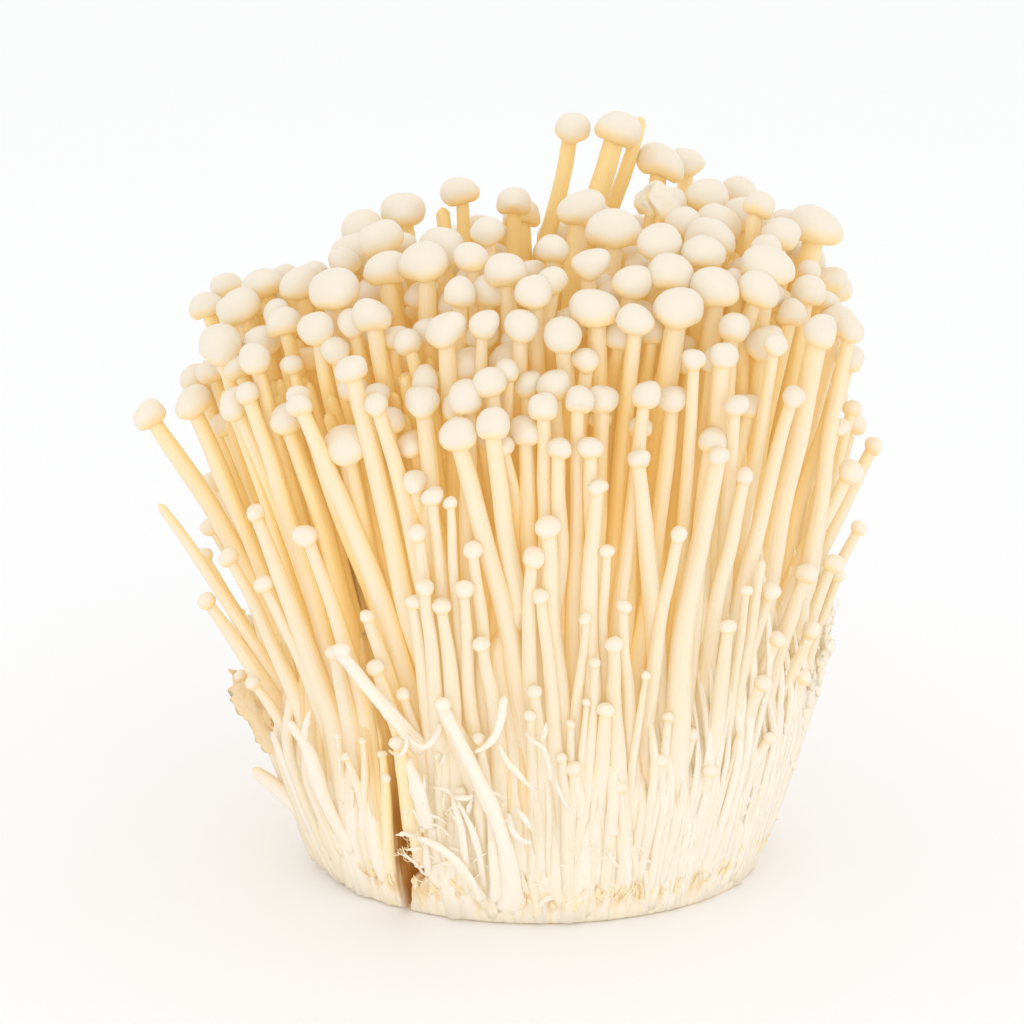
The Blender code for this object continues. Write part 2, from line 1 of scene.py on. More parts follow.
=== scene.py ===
"""Looks of an enoki mushroom bunch that stands on its cut foot.

The bunch is one growth, parted at the foot into two tufts. The tables and rules below are in
millimetres, with +X to the right, +Y to the back and +Z up from the middle of the cut face, and the
meshes are made in metres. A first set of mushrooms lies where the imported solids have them, and more are
settled between these, with the fine forms of the foot: ribs, strands, torn strips and threads.
"""

from __future__ import annotations

import logging
import math
from collections.abc import Callable
from dataclasses import dataclass, field
from enum import Enum

import bpy
import numpy as np
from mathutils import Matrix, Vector


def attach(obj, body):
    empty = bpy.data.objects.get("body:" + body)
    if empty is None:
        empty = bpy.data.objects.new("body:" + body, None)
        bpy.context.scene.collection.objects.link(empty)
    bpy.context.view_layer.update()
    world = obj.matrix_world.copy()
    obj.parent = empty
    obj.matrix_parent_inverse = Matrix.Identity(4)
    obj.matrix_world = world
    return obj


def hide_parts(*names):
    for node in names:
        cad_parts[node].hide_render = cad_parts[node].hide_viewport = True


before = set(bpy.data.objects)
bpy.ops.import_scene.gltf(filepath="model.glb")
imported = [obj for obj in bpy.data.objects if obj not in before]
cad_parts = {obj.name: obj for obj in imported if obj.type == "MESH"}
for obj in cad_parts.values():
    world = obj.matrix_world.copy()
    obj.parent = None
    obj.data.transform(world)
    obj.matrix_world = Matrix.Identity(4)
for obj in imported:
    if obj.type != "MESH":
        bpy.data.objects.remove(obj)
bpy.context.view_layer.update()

LOG = logging.getLogger("enoki")
MM = 0.001
SEED = 7
BODY = "root"
TURN = 2 * math.pi

Array = np.ndarray
Values = np.ndarray | float
Colour = tuple[float, float, float]

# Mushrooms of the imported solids: root x, then the middle of the cap x, y, z, cap width, stem width.
CROWN = [
    (2, 5, 18, 116, 6.0, 2.5), (4, 12, 16, 116, 7.7, 3.4), (11, 19, 20, 110, 7.4, 2.9),
    (16, 24, 25, 109, 5.6, 2.6), (12, 18, 2, 107, 7.8, 3.0), (17, 26, 13, 106, 7.0, 2.8),
    (21, 32, 20, 105, 6.1, 2.7), (23, 33, 10, 103, 8.0, 3.1), (29, 43, 4, 103, 8.3, 3.6),
    (26, 38, 12, 102, 5.4, 2.8), (28, 41, -5, 98, 4.0, 2.6), (4, 6, -2, 107, 7.2, 3.0),
    (8, 11, -12, 106, 8.3, 3.0), (14, 18, -17, 105, 6.8, 2.7), (18, 26, -9, 104, 7.4, 2.8),
    (21, 26, -24, 100, 7.6, 2.9), (25, 34, -19, 102, 7.4, 3.0), (6, 7, -21, 103, 5.8, 2.5),
    (9, 13, -25, 101, 6.0, 2.4), (15, 19, -23, 102, 6.8, 2.6), (9, 8, -30, 98, 7.6, 2.9),
    (17, 19, -30, 98, 7.9, 3.3), (-2, -1, -28, 100, 5.7, 2.3), (-4, -5, -22, 102, 6.8, 2.5),
    (-10, -12, -24, 99, 5.2, 2.2), (-6, -8, -8, 105, 5.4, 2.3), (-3, -4, 9, 106, 5.4, 2.3),
    (-8, -12, 12, 107, 5.8, 2.1), (-12, -22, 11, 104, 7.1, 2.8), (-14, -24, -4, 103, 7.1, 2.7),
    (-18, -17, -17, 102, 7.8, 3.0), (-11, -14, -30, 95, 6.3, 2.6), (-3, -3, -31, 96, 5.7, 2.3),
    (5, 4, -32, 95, 6.3, 2.5), (9, 14, -31, 97, 5.3, 2.3), (24, 28, -28, 95, 5.1, 2.4),
    (31, 41, -27, 94, 5.6, 3.1), (34, 46, -22, 93, 4.4, 2.2), (-19, -31, 5, 99, 7.0, 3.1),
    (-17, -27, 9, 102, 6.9, 3.0), (-25, -43, 3, 94, 6.4, 2.8), (-19, -31, -17, 98, 8.1, 3.0),
    (-29, -46, -3, 92, 7.3, 2.9), (-30, -49, -9, 88, 7.6, 2.8), (-17, -25, -24, 96, 5.7, 2.6),
    (-27, -43, -19, 88, 5.1, 2.2), (-19, -36, -20, 93, 5.8, 2.5),
]
FRONT = [
    (20, 22, -36, 92, 3.6, 2.0), (29, 34, -31, 93, 3.7, 2.1), (25, 37, -30, 85, 3.6, 2.2),
    (9, 15, -37, 87, 4.5, 2.0), (25, 28, -35, 85, 3.6, 2.1), (-5, -5, -35, 90, 3.8, 1.9),
    (3, 2, -36, 88, 5.3, 2.2), (6, 5, -39, 87, 4.6, 2.1), (-5, -7, -37, 89, 4.9, 2.3),
    (-8, -11, -38, 87, 5.5, 2.3), (-13, -28, -33, 90, 4.8, 2.8), (-12, -35, -31, 84, 3.8, 2.8),
    (-9, -24, -35, 85, 3.7, 2.5), (-6, -19, -31, 78, 4.6, 2.1), (2, -12, -39, 82, 5.4, 2.6),
    (-10, -16, -38, 72, 3.2, 1.9), (-11, -18, -37, 66, 2.9, 2.1), (24, 30, -34, 74, 2.7, 2.2),
    (15, 20, -37, 66, 2.5, 1.9), (20, 14, -39, 78, 3.4, 2.6), (5, 7, -40, 80, 3.7, 2.3),
    (4, 1, -40, 68, 3.9, 2.6), (4, 0, -39, 57, 2.6, 1.9), (-8, -10, -39, 64, 2.9, 1.9),
    (-30, -54, -5, 77, 5.8, 2.5), (-31, -54, 4, 79, 5.3, 2.5), (-29, -61, -3, 75, 5.0, 2.7),
    (-27, -44, -21, 83, 3.7, 2.6), (-26, -43, -24, 65, 3.0, 2.5), (-28, -48, -14, 55, 3.1, 2.0),
    (29, 52, -4, 70, 3.2, 2.2), (31, 50, -5, 57, 2.6, 1.8), (32, 48, -8, 77, 3.0, 2.0),
]
LOW = [
    (15, 12, -38, 55, 2.3, 1.7), (24, 28, -33, 50, 2.5, 2.0), (12, 11, -37, 49, 2.8, 2.2),
    (3, -1, -36, 41, 2.3, 1.9), (7, 5, -34, 28, 2.8, 1.8), (18, 18, -31, 28, 2.2, 1.6),
    (25, 26, -28, 25, 2.2, 1.6), (-13, -19, -36, 55, 2.4, 1.8), (-6, -9, -37, 49, 2.6, 2.0),
    (-4, -14, -36, 37, 2.6, 2.8), (-15, -26, -31, 51, 2.3, 2.2), (-16, -20, -28, 19, 2.1, 1.5),
    (-26, -31, -27, 44, 2.5, 2.2), (-27, -42, -22, 53, 3.0, 2.1), (-29, -52, -8, 46, 3.0, 2.2),
]
# Stems whose caps broke off: root x, then the tip x, y, z, and the stem width.
CAPLESS = [
    (8, 16, 20, 117, 2.6), (-9, -15, 12, 104, 2.8), (-30, -59, -8, 61.5, 1.8),
    (-29, -48, -13, 81, 2.0), (-33, -46, -9, 18, 1.8),
]
# Stems that bend over in their last stretch, by their cap: how far across and in depth.
HOOKS = {(5, 18, 116): (6.0, 0.0), (12, 16, 116): (8.0, 0.0), (16, 20, 117): (7.0, 0.0)}
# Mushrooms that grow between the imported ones, in the same columns.
BETWEEN = [
    (-8, -9, -30, 96, 4.4, 2.0), (1, 2, -16, 104, 5.1, 2.2), (-6, -9, -17, 103, 5.2, 2.4),
    (3, 3, -25, 101, 5.1, 2.2), (-4, -7, -41, 84, 5.2, 2.5), (2, 2, -40, 80, 3.7, 2.3),
    (0, -1, -39, 86, 4.6, 2.2), (24, 26, -35, 92, 4.4, 2.9), (-3, -1, -40, 63, 3.4, 2.1),
    (-10, -11, -38, 58, 2.8, 1.8), (-10, -15, -37, 55, 2.9, 2.1), (9, 9, -35, 38, 2.8, 2.0),
    (12, 12, -32, 24, 2.3, 1.6), (-15, -21, -32, 39, 2.1, 1.5), (21, 26, -37, 78, 3.2, 2.9),
    (8, 8, -40, 74, 2.9, 2.3), (19, 24, -22, 104, 6.4, 2.7), (25, 32, -23, 99.5, 5.9, 2.5),
    (-18, -24, -28, 28, 1.5, 1.1), (-19.5, -23.1, -29.5, 24.4, 1.5, 1.0),
    (-24, -29.8, -26.5, 26.7, 1.5, 1.0), (-25.5, -27, -28.5, 30.2, 1.3, 0.9),
    (-7, -9.9, -35.5, 33.4, 1.9, 1.3), (-29, -31, -26.2, 30.1, 1.1, 0.8),
    (-28, -29, -24.5, 20.4, 0.9, 0.7), (-29.5, -31, -22, 17.5, 0.9, 0.7),
    (-11.5, -12.2, -32.8, 23.6, 1.8, 1.2), (-15, -15.5, -33.5, 29.8, 1.2, 0.9),
    (-1, -1.2, -36.4, 37.3, 1.9, 1.3), (6, 8.2, -37, 46, 1.9, 1.3), (6, 7.3, -36.2, 39.4, 1.3, 0.9),
    (3.4, 3.9, -35, 30, 1.7, 1.2), (17, 19.4, -32.3, 35.4, 1.7, 1.2), (12.5, 15.7, -35, 43.1, 1.4, 1.0),
    (26, 30.6, -24.8, 29.9, 1.4, 1.0), (4.2, 4.7, -35.9, 35.5, 1.5, 1.1),
    (6, 7.5, -38.2, 53.3, 2.0, 1.4), (26.5, 32.2, -29.5, 59.4, 0, 1.6), (33, 46.6, -7.9, 50, 2.3, 1.6),
    (-33, -53, -1.7, 51.3, 3.0, 1.9), (32, 45.5, -15.8, 76.3, 3.0, 1.8),
    (7, 8.6, -38.5, 63.8, 2.2, 1.5), (25.5, 30.7, -30, 55, 1.9, 1.3),
    (-14.5, -17.3, -37.5, 58.1, 2.9, 2.0), (-27, -37.2, -28, 84.4, 3.6, 2.2),
    (-11, -13.3, -38.9, 71.2, 2.1, 1.5),
]

# Torn strips and threads on the front: width, thickness as a share of it, how far they stand out at
# the start, middle and end, widths at both ends as shares, and the x and z of points along them.
TORN_MAIN = [
    (0.9, 0.8, (0, 2.6, 1.6), (1, 0.5), ((-14.9, 35.5), (-15.9, 33.3), (-17.4, 32.1), (-19.0, 32.4),
     (-19.9, 33.5))),
    (0.7, 0.8, (0.5, 2.6, 0.5), (1, 0.4), ((-20.2, 33.5), (-20.1, 32.1), (-20.6, 30.6), (-21.8, 29.7),
     (-22.9, 29.9))),
    (1.3, 0.6, (0, 1.8, 1.2), (1.2, 0.5), ((-5.5, 40.5), (-5.8, 37.8), (-6.7, 34.6), (-8.2, 32.5),
     (-9.8, 31.5))),
    (1.1, 0.5, (0, 1.9, 1.4), (0.4, 0.6), ((-6.2, 32.4), (-5.1, 30.1), (-3.4, 28.3), (-1.8, 26.0),
     (-0.8, 25.3))),
    (1.5, 0.5, (0, 1.5, 1.8), (1, 0.8), ((-5.2, 20.2), (-4.7, 18.3), (-3.1, 16.4), (-1.4, 16.0))),
    (1.0, 0.5, (0, 1.5, 0.8), (0.4, 0.3), ((-3.7, 21.5), (-2.4, 20.2), (-1.1, 17.5))),
    (0.6, 0.8, (0, 1.4, 1.0), (1, 0.3), ((2.2, 26.3), (3.3, 23.6), (4.7, 21.2))),
    (0.9, 0.5, (3.2, 2.6, 1.2), (0.1, 1.2), ((-22.1, 16.0), (-20.7, 16.3), (-19.4, 15.2))),
    (1.6, 0.4, (1, 2.2, 1.2), (0.6, 1), ((-18.9, 15.1), (-17.1, 15.0), (-14.7, 14.0), (-12.7, 12.0),
     (-11.1, 9.8), (-9.8, 7.1), (-8.6, 5.2))),
    (1.0, 0.5, (0.5, 2.4, 1.4), (0.4, 1), ((-16.5, 9.8), (-14.8, 11.3), (-13.1, 11.9), (-11.1, 10.5),
     (-9.9, 7.8), (-9.1, 4.9))),
    (0.6, 0.8, (0, 2.2, 0.4), (0.7, 0.5), ((-16.3, 24.1), (-15.5, 24.7), (-14.3, 25.1), (-13.5, 24.0),
     (-13.3, 22.9))),
    (1.0, 0.8, (1, 2.4, 2.2), (0.8, 0.7), ((-13.0, 23.3), (-11.7, 23.7), (-10.3, 24.1))),
    (2.5, 0.9, (-3.6, 1.6, 1.4), (1.1, 0.7), ((-17.6, 28.5), (-19.4, 32.0), (-22.6, 37.0), (-26.4, 41.8),
     (-29.8, 45.8)), 2.8),
    (2.5, 0.7, (-0.4, 2.0, 1.4), (2.1, 0.85), ((-4.2, 2.0), (-4.5, 8.6), (-4.9, 12.6), (-5.6, 16.4),
     (-6.9, 21.0), (-8.5, 25.2), (-10.6, 30.0), (-13.0, 35.1), (-14.6, 38.7)), 2.5),
    (2.2, 0.5, (0, 1.4, 1.2), (0.5, 1), ((-7.6, 20.1), (-7.0, 15.2), (-6.8, 10.3), (-6.7, 5.2))),
    (0.8, 0.6, (1.3, 1.2, 0.2), (0.3, 1), ((0.8, 36.7), (0.6, 34.9), (0.1, 33.0))),
    (1.0, 0.6, (1.2, 1.3, 0.2), (0.3, 0.8), ((-2.2, 34.8), (-0.9, 33.3), (0.5, 32.5), (1.2, 29.5),
     (1.5, 26.3))),
    (0.7, 0.8, (0.2, 1.6, 2.0), (1, 0.5), ((-15.1, 28.5), (-14.6, 29.5), (-14.4, 31.1))),
    (0.8, 0.7, (0.2, 1.4, 1.8), (1, 1.3), ((-0.1, 3.7), (0.4, 5.3), (1.6, 6.2))),
    (2.6, 0.6, (-0.6, 1.0, 0.4), (0.6, 0.9), ((-20.2, 28.5), (-19.2, 25.6), (-18.3, 22.6), (-17.6, 19.6),
     (-17.0, 17.0))),
    (1.2, 0.7, (0.2, 1.0, -0.2), (0.3, 1), ((-17.6, 14.9), (-17.4, 11.5), (-17.2, 8.0))),
    (1.4, 0.6, (0.4, 1.2, 0.2), (0.6, 1), ((-13.4, 22.9), (-11.9, 18.0), (-11.5, 13.0), (-11.3, 6.0))),
    (1.2, 0.6, (0.4, 1.3, 0.2), (0.6, 1), ((-12.6, 22.4), (-10.4, 18.0), (-9.1, 13.0), (-8.6, 7.0))),
    (1.7, 0.5, (-0.6, 0.8, -0.6), (0.5, 0.5), ((39.6, 19.5), (41.2, 17.2), (40.0, 14.6))),
    (1.5, 0.5, (-0.6, 0.9, -0.6), (0.5, 0.5), ((43.6, 31.5), (44.8, 29.4), (43.8, 27.0))),
    (1.9, 0.5, (-0.6, 0.9, -0.6), (0.5, 0.5), ((45.0, 38.5), (46.9, 36.6), (45.8, 33.6))),
    (1.6, 0.5, (-0.6, 0.8, -0.6), (0.5, 0.5), ((36.9, 10.8), (38.4, 9.4), (37.4, 7.6))),
    (1.3, 0.5, (-0.6, 0.7, -0.6), (0.5, 0.5), ((41.6, 25.4), (42.9, 23.6), (42.2, 21.8))),
]
TORN_LEFT = [
    (3.3, 0.10, (1.2, 0.4, -0.4), (1.5, 0.3), ((-47.2, 32.4), (-45.5, 28.4), (-43.6, 24.6), (-42.0, 20.4),
     (-40.6, 15.6)), "flap"),
    (1.8, 0.2, (1.8, 1.0, 0.0), (0.3, 1), ((-49.6, 31.9), (-47.9, 31.0), (-46.4, 28.6), (-44.9, 25.0)),
     "flap"),
    (1.5, 0.2, (1.8, 1.0, 0.0), (0.2, 1), ((-45.4, 33.6), (-45.7, 31.8), (-45.3, 29.6), (-44.3, 26.0)),
     "flap"),
    (2.0, 0.5, (0.4, 0.6, 0), (0.8, 1), ((-41.9, 26.2), (-40.0, 21.5), (-38.4, 16.0), (-36.8, 10.9),
     (-34.5, 5.9))),
    (2.6, 0.7, (0.2, 0.8, 0), (0.6, 0.8), ((-39.0, 30.3), (-37.3, 29.0), (-35.9, 27.4), (-35.0, 23.6),
     (-33.8, 19.1), (-31.9, 13.8), (-29.2, 9.0))),
    (1.2, 0.7, (0.2, 0.9, 0.4), (0.4, 1), ((-35.2, 33.8), (-36.0, 31.1), (-36.4, 28.0))),
    (0.7, 0.6, (0.2, 0.5, 0), (0.5, 1), ((-34.0, 11.6), (-32.6, 8.5), (-30.5, 5.4))),
]
# The cap that is crumpled and slit.
CREASED = (18, 2, 107)


class Shape(Enum):
    """How the closed surface of a mushroom is divided: stem sides and rings, cap sides and rings."""

    TALL = (14, 22, 18, 15)
    SHORT = (9, 13, 12, 10)
    PLAIN = (10, 15, 14, 12)
    SMALL = (8, 11, 12, 9)
    FINE = (18, 30, 72, 60)


# ---------------------------------------------------------------------------------------------
# Form and growth
# ---------------------------------------------------------------------------------------------


@dataclass(frozen=True)
class Form:
    """Outer form of the bunch: the fan of stems, the crown above it and the parting of the tufts."""

    foot_middle: float = 0.0
    middle: float = -2.0
    foot: tuple[float, float] = (35.5, 29.4)
    widest: tuple[float, float] = (53.0, 40.0)
    fan_top: float = 65.0
    crown: float = 106.0
    parting: float = -22.0
    skew: float = 0.3
    lean: float = 20.0
    wave: float = 2.0
    gap: float = 0.8
    cleft: tuple[float, float] = (1.2, 4.2)
    reach: float = 30.0

    def swell(self, z: Values) -> Array:
        """How far the fan has opened at height z: straight growth mixed with a sine."""
        share = np.clip(np.asarray(z, float) / self.fan_top, 0.0, 1.0)
        return 0.5 * share + 0.5 * np.sin(0.5 * math.pi * share)

    def fan(self, z: Values) -> tuple[Array, Array]:
        """Half width and half depth of the fan at height z.

        Args:
            z: Heights.

        Returns:
            The half widths and the half depths.
        """
        return tuple(low + (high - low) * self.swell(z) for low, high in zip(self.foot, self.widest))

    def fan_middle(self, z: Values) -> Array:
        """X of the middle of the fan at height z."""
        return self.foot_middle + (self.middle - self.foot_middle) * self.swell(z)

    def edge(self, x: Array, y: Array, z: Values, inset: object = 0.0) -> Array:
        """How near a place is to the outside of the fan: 0 in the middle and 1 at the rim.

        Args:
            x: Places across.
            y: Places in depth.
            z: Heights.
            inset: How far the rim lies inside the fan.

        Returns:
            Shares of the way to the rim.
        """
        wide, deep = self.fan(z)
        return np.hypot((x - self.fan_middle(z)) / (wide - inset), y / (deep - inset))

    def crown_height(self, x: Values, y: Values) -> Array:
        """Height of the caps over a place: higher to the right, falling back and at the rim.

        Args:
            x: Places across.
            y: Places in depth.

        Returns:
            The heights.
        """
        edge = np.hypot((x - self.middle) / self.widest[0], np.asarray(y) / self.widest[1])
        fall = np.where(np.asarray(y) < 5, 0.004, 0.012) * (np.asarray(y) - 5) ** 2
        return self.crown + 0.12 * np.asarray(x) - fall - 22.0 * edge**6

    def rise(self, z: Values) -> Array:
        """How far the parting has opened at height z, from 0 to 1."""
        return np.clip((np.asarray(z, float) - self.reach) / 70.0, 0.0, 1.0)

    def parting_x(self, y: Values, z: Values) -> Array:
        """X of the surface between the tufts: a leaning plane with a wave that grows upwards.

        Args:
            y: Places in depth.
            z: Heights.

        Returns:
            The x of the surface.
        """
        rise = self.rise(z)
        wave = self.wave * rise * np.sin(y / 8.0 + z / 30.0)
        return self.parting + self.skew * (y + 28.0) - self.lean * rise + wave

    def beyond(self, x: Array, y: Array, z: Values) -> Array:
        """Signed distance in the plan from the parting, positive in the main tuft.

        Args:
            x: Places across.
            y: Places in depth.
            z: Heights.

        Returns:
            The distances.
        """
        slope = self.skew + self.wave / 8.0 * self.rise(z) * np.cos(y / 8.0 + z / 30.0)
        return (x - self.parting_x(y, z)) / np.hypot(1.0, slope)

    def depth(self, points: Array) -> Array:
        """How far points lie inside the bunch: the nearer of its side and the crown above them.

        Args:
            points: Points, with x, y and z in the last axis.

        Returns:
            Depths in millimetres, 0 at the outside.
        """
        x, y, z = np.moveaxis(points, -1, 0)
        side = (1.0 - self.edge(x, y, z)) * 0.5 * sum(self.fan(z))
        above = self.crown_height(x, y) - z
        return np.clip(np.minimum(side, 0.75 * above), 0.0, None)


FORM = Form()


@dataclass(frozen=True)
class Hollow:
    """The place beside the parting where a piece is torn out of the foot of the main tuft."""

    place: tuple[float, float, float] = (-20.6, -26.0, 11.2)
    half: tuple[float, float, float] = (3.3, 9.0, 4.9)
    push: float = 7.5

    def depth(self, points: Array, wider: float = 1.0) -> Array:
        """How far in the skin lies: 1 in the middle and 0 round the ragged rim.

        Args:
            points: Places, with x, y and z in the last axis.
            wider: Widens the whole place.

        Returns:
            Shares of the full depth.
        """
        away = (points - np.array(self.place)) / (np.array(self.half) * wider)
        ragged = 0.30 * value_noise(points / [0.9, 9.0, 1.6], 31)
        return 1.0 - smooth(np.linalg.norm(away, axis=-1) + ragged, 0.72, 1.12)


def cap_height(width: Values) -> Array:
    """Height of a cap of this width: small ones are round buttons, and wide ones are flatter."""
    return width * np.interp(width, (2.5, 7.5), (0.84, 0.68))


def stem_share(share: Array) -> Array:
    """Stem width along its length: widest a little above the middle, with a slim neck."""
    return np.interp(share, (0.0, 0.25, 0.6, 0.86, 1.0), (0.82, 0.92, 1.0, 0.86, 0.70))


def value_noise(points: Array, seed: int = 0) -> Array:
    """Smooth noise: hashed values on a lattice, blended by a cubic step along each axis.

    Args:
        points: Places, with three coordinates in the last axis, in lattice cells.
        seed: Picks another field.

    Returns:
        Values from -1 to 1.
    """
    cell = np.floor(points).astype(np.int64)
    part = points - cell
    part = part * part * (3.0 - 2.0 * part)
    total = np.zeros(points.shape[:-1])
    for corner in range(8):
        step = np.array([corner & 1, corner >> 1 & 1, corner >> 2 & 1])
        at = cell + step
        mixed = at[..., 0] * 374761393 + at[..., 1] * 668265263 + at[..., 2] * 1013904223
        mixed = (mixed + seed * 1442695041) & 0xFFFFFFFF
        mixed = ((mixed ^ (mixed >> 13)) * 1274126177) & 0xFFFFFFFF
        mixed = (mixed ^ (mixed >> 16)) & 0xFFFFFF
        total += np.prod(np.where(step == 1, part, 1.0 - part), axis=-1) * mixed / 0xFFFFFF
    return 2.0 * total - 1.0


def smooth(value: Values, low: float, high: float) -> Array:
    """Cubic step from 0 at low to 1 at high."""
    share = np.clip((np.asarray(value, float) - low) / (high - low), 0.0, 1.0)
    return share * share * (3.0 - 2.0 * share)


HOLLOW = Hollow()


class Growth:
    """The rules by which the rest of the bunch grows among the mushrooms that are placed."""

    crown_spacing: float = 0.86
    stem_swell: float = 1.14
    tries: int = 6000
    table_give: float = 0.35
    between_give: float = 0.6
    fillers: int = 230

    def __init__(self) -> None:
        """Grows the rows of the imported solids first, and then those between them."""
        self.rows = [self.planted(row, self.table_give) for row in CROWN + FRONT + LOW]
        self.rows += [self.planted((*row[:4], 0.0, row[4]), self.table_give) for row in CAPLESS]
        self.grow(46, self.crown_mushroom, self.crown_gap)
        self.grow(44, self.side_mushroom, 5.8)
        self.grow(14, self.low_mushroom, 7.0)
        self.packed = len(self.rows)
        self.rows += [self.planted(row, self.between_give) for row in BETWEEN]
        self.placed = len(self.rows)
        self.grow(90, self.under_mushroom, self.under_gap)
        self.grow(70, self.inner_mushroom, self.inner_gap)
        self.grow(44, self.flank_mushroom, self.under_gap)
        self.grow(34, self.seam_mushroom, 2.4)
        self.grow(110, self.back_mushroom, 3.7)
        self.grow(60, self.rim_pin, 3.2)
        rng = np.random.default_rng(SEED + 3)
        self.rows += [self.rooted(self.filler(rng)) for _ in range(self.fillers)]

    @staticmethod
    def root_y(root_x: float, y: float, z: float) -> float:
        """Depth of a root: on the fan line of its cap, or nearer the front rim in the front half.

        Args:
            root_x: Where the root is across.
            y: Depth of the cap.
            z: Height of the cap.

        Returns:
            The depth, kept inside the foot.
        """
        share = y / FORM.fan(z)[1]
        depth = FORM.foot[1] * (share if share > 0 else -(abs(share) ** 0.6))
        edge = min(0.95, abs(root_x - FORM.foot_middle) / FORM.foot[0])
        most = 0.90 * FORM.foot[1] * math.sqrt(1.0 - edge**2)
        return max(-most, min(most, depth))

    @staticmethod
    def rooted(row: tuple) -> tuple:
        """Moves a root, if need be, to the side of the parting that its cap is on.

        Args:
            row: The mushroom's row.

        Returns:
            The row with its root moved.
        """
        side = np.sign(FORM.beyond(*row[2:5]))
        short = 2.0 - side * FORM.beyond(row[0], row[1], 4.0)
        return (row[0] + side * max(0.0, short) * 1.05, *row[1:])

    def planted(self, row: tuple, give: float) -> tuple:
        """A row of a table with its root's depth worked out.

        Args:
            row: Root x, cap x, y and z, cap width and stem width.
            give: How readily the mushroom yields to its neighbours.

        Returns:
            Root x and y, cap x, y and z, cap width, stem width and give.
        """
        root_x, x, y, z, cap, stem = row
        stem *= self.stem_swell
        return self.rooted((root_x, self.root_y(root_x, y, z), x, y, z, cap, stem, give))

    def grow(self, count: int, draw: Callable, spacing: Callable | float) -> None:
        """Adds mushrooms where a seeded draw finds room.

        Args:
            count: How many.
            draw: Gives a random row.
            spacing: How far a row must stand from another, or what works that out.
        """
        apart = spacing if callable(spacing) else lambda row, other: spacing
        rng = np.random.default_rng(SEED + len(self.rows))
        target = len(self.rows) + count
        for _ in range(self.tries):
            if len(self.rows) == target:
                break
            row = self.rooted(draw(rng))
            if abs(FORM.beyond(*row[2:5])) < 0.4 * row[5]:
                continue
            if all(math.dist(row[2:5], other[2:5]) > apart(row, other) for other in self.rows):
                self.rows.append(row)

    @staticmethod
    def place(radius: float, turn: float, root: float) -> tuple[float, float, float, float]:
        """Root and cap on one fan line, as shares of the way out over the foot and the crown.

        Args:
            radius: How far out, as a share.
            turn: The direction from the middle.
            root: How far the root is drawn in.

        Returns:
            X and y of the root, and x and y of the cap.
        """
        across, back = radius * math.cos(turn), radius * math.sin(turn)
        foot = FORM.foot_middle + root * FORM.foot[0] * across, root * FORM.foot[1] * back
        return (*foot, FORM.middle + FORM.widest[0] * across, FORM.widest[1] * back)

    @staticmethod
    def on_fan(turn: float, z: float, share: float = 1.0, out: float = 0.0) -> tuple[float, float]:
        """X and y in direction turn: a share of the way to the fan at height z, and out beyond it."""
        wide, deep = (share * half + out for half in FORM.fan(z))
        return FORM.fan_middle(z) + wide * math.cos(turn), deep * math.sin(turn)

    @staticmethod
    def at_rim(share: float, turn: float) -> tuple[float, float]:
        """A root in the foot: share of the way to its rim, in direction turn."""
        x, y = FORM.foot
        return FORM.foot_middle + share * x * math.cos(turn), share * y * math.sin(turn)

    def crown_mushroom(self, rng: np.random.Generator) -> tuple:
        """A tall mushroom somewhere in the crown, with its root on the same fan line.

        Args:
            rng: Seeded draws.

        Returns:
            Its row.
        """
        radius, turn = math.sqrt(rng.uniform(0.08, 0.88)), rng.random() * TURN
        spot = self.place(radius, turn, 0.9)
        cap = float(np.clip(7.0 - 1.8 * radius**2 + rng.normal(0, 0.8), 4.2, 8.4))
        z = float(FORM.crown_height(*spot[2:])) + rng.uniform(-6, 0)
        return (*spot, z, cap, self.stem_swell * (1.5 + 0.18 * cap + rng.normal(0, 0.12)), 1.0)

    def under_mushroom(self, rng: np.random.Generator) -> tuple:
        """A mushroom whose cap fills a gap between the caps of the crown, a little below them.

        Args:
            rng: Seeded draws.

        Returns:
            Its row.
        """
        row = self.crown_mushroom(rng)
        cap = rng.uniform(3.6, 6.4)
        z = float(FORM.crown_height(row[2], row[3])) - rng.uniform(2.0, 8.5)
        return (*row[:4], z, cap, self.stem_swell * (1.4 + 0.2 * cap), 1.0)

    def inner_mushroom(self, rng: np.random.Generator) -> tuple:
        """A mushroom of the second layer, with its cap just under the crown.

        Args:
            rng: Seeded draws.

        Returns:
            Its row.
        """
        spot = self.place(math.sqrt(rng.uniform(0.02, 0.80)), rng.random() * TURN, 0.9)
        cap = rng.uniform(3.0, 5.6)
        z = float(FORM.crown_height(*spot[2:])) - rng.uniform(5, 14)
        return (*spot, z, cap, self.stem_swell * (1.4 + 0.2 * cap), 1.0)

    def filler(self, rng: np.random.Generator) -> tuple:
        """A stem of the second layer that ends out of sight under the caps.

        Args:
            rng: Seeded draws.

        Returns:
            Its row.
        """
        spot = self.place(math.sqrt(rng.uniform(0.30, 0.64)), rng.random() * TURN, 0.92)
        z = float(FORM.crown_height(*spot[2:])) - rng.uniform(9, 18)
        return (*spot, z, 0.0, rng.uniform(2.0, 3.1), 1.0)

    def flank_mushroom(self, rng: np.random.Generator) -> tuple:
        """A full-grown mushroom high on the sides or the back, just inside the outline.

        Args:
            rng: Seeded draws.

        Returns:
            Its row.
        """
        turn, reach = rng.uniform(0.15, math.pi - 0.15), rng.uniform(0.80, 0.93)
        x, y = self.place(reach, turn, 0.0)[2:]
        z = float(FORM.crown_height(x, y)) - rng.uniform(3, 14)
        cap = rng.uniform(3.8, 6.4)
        turn += rng.normal(0, 0.06)
        return (*self.at_rim(0.88, turn), x, y, z, cap, self.stem_swell * (1.5 + 0.2 * cap), 1.0)

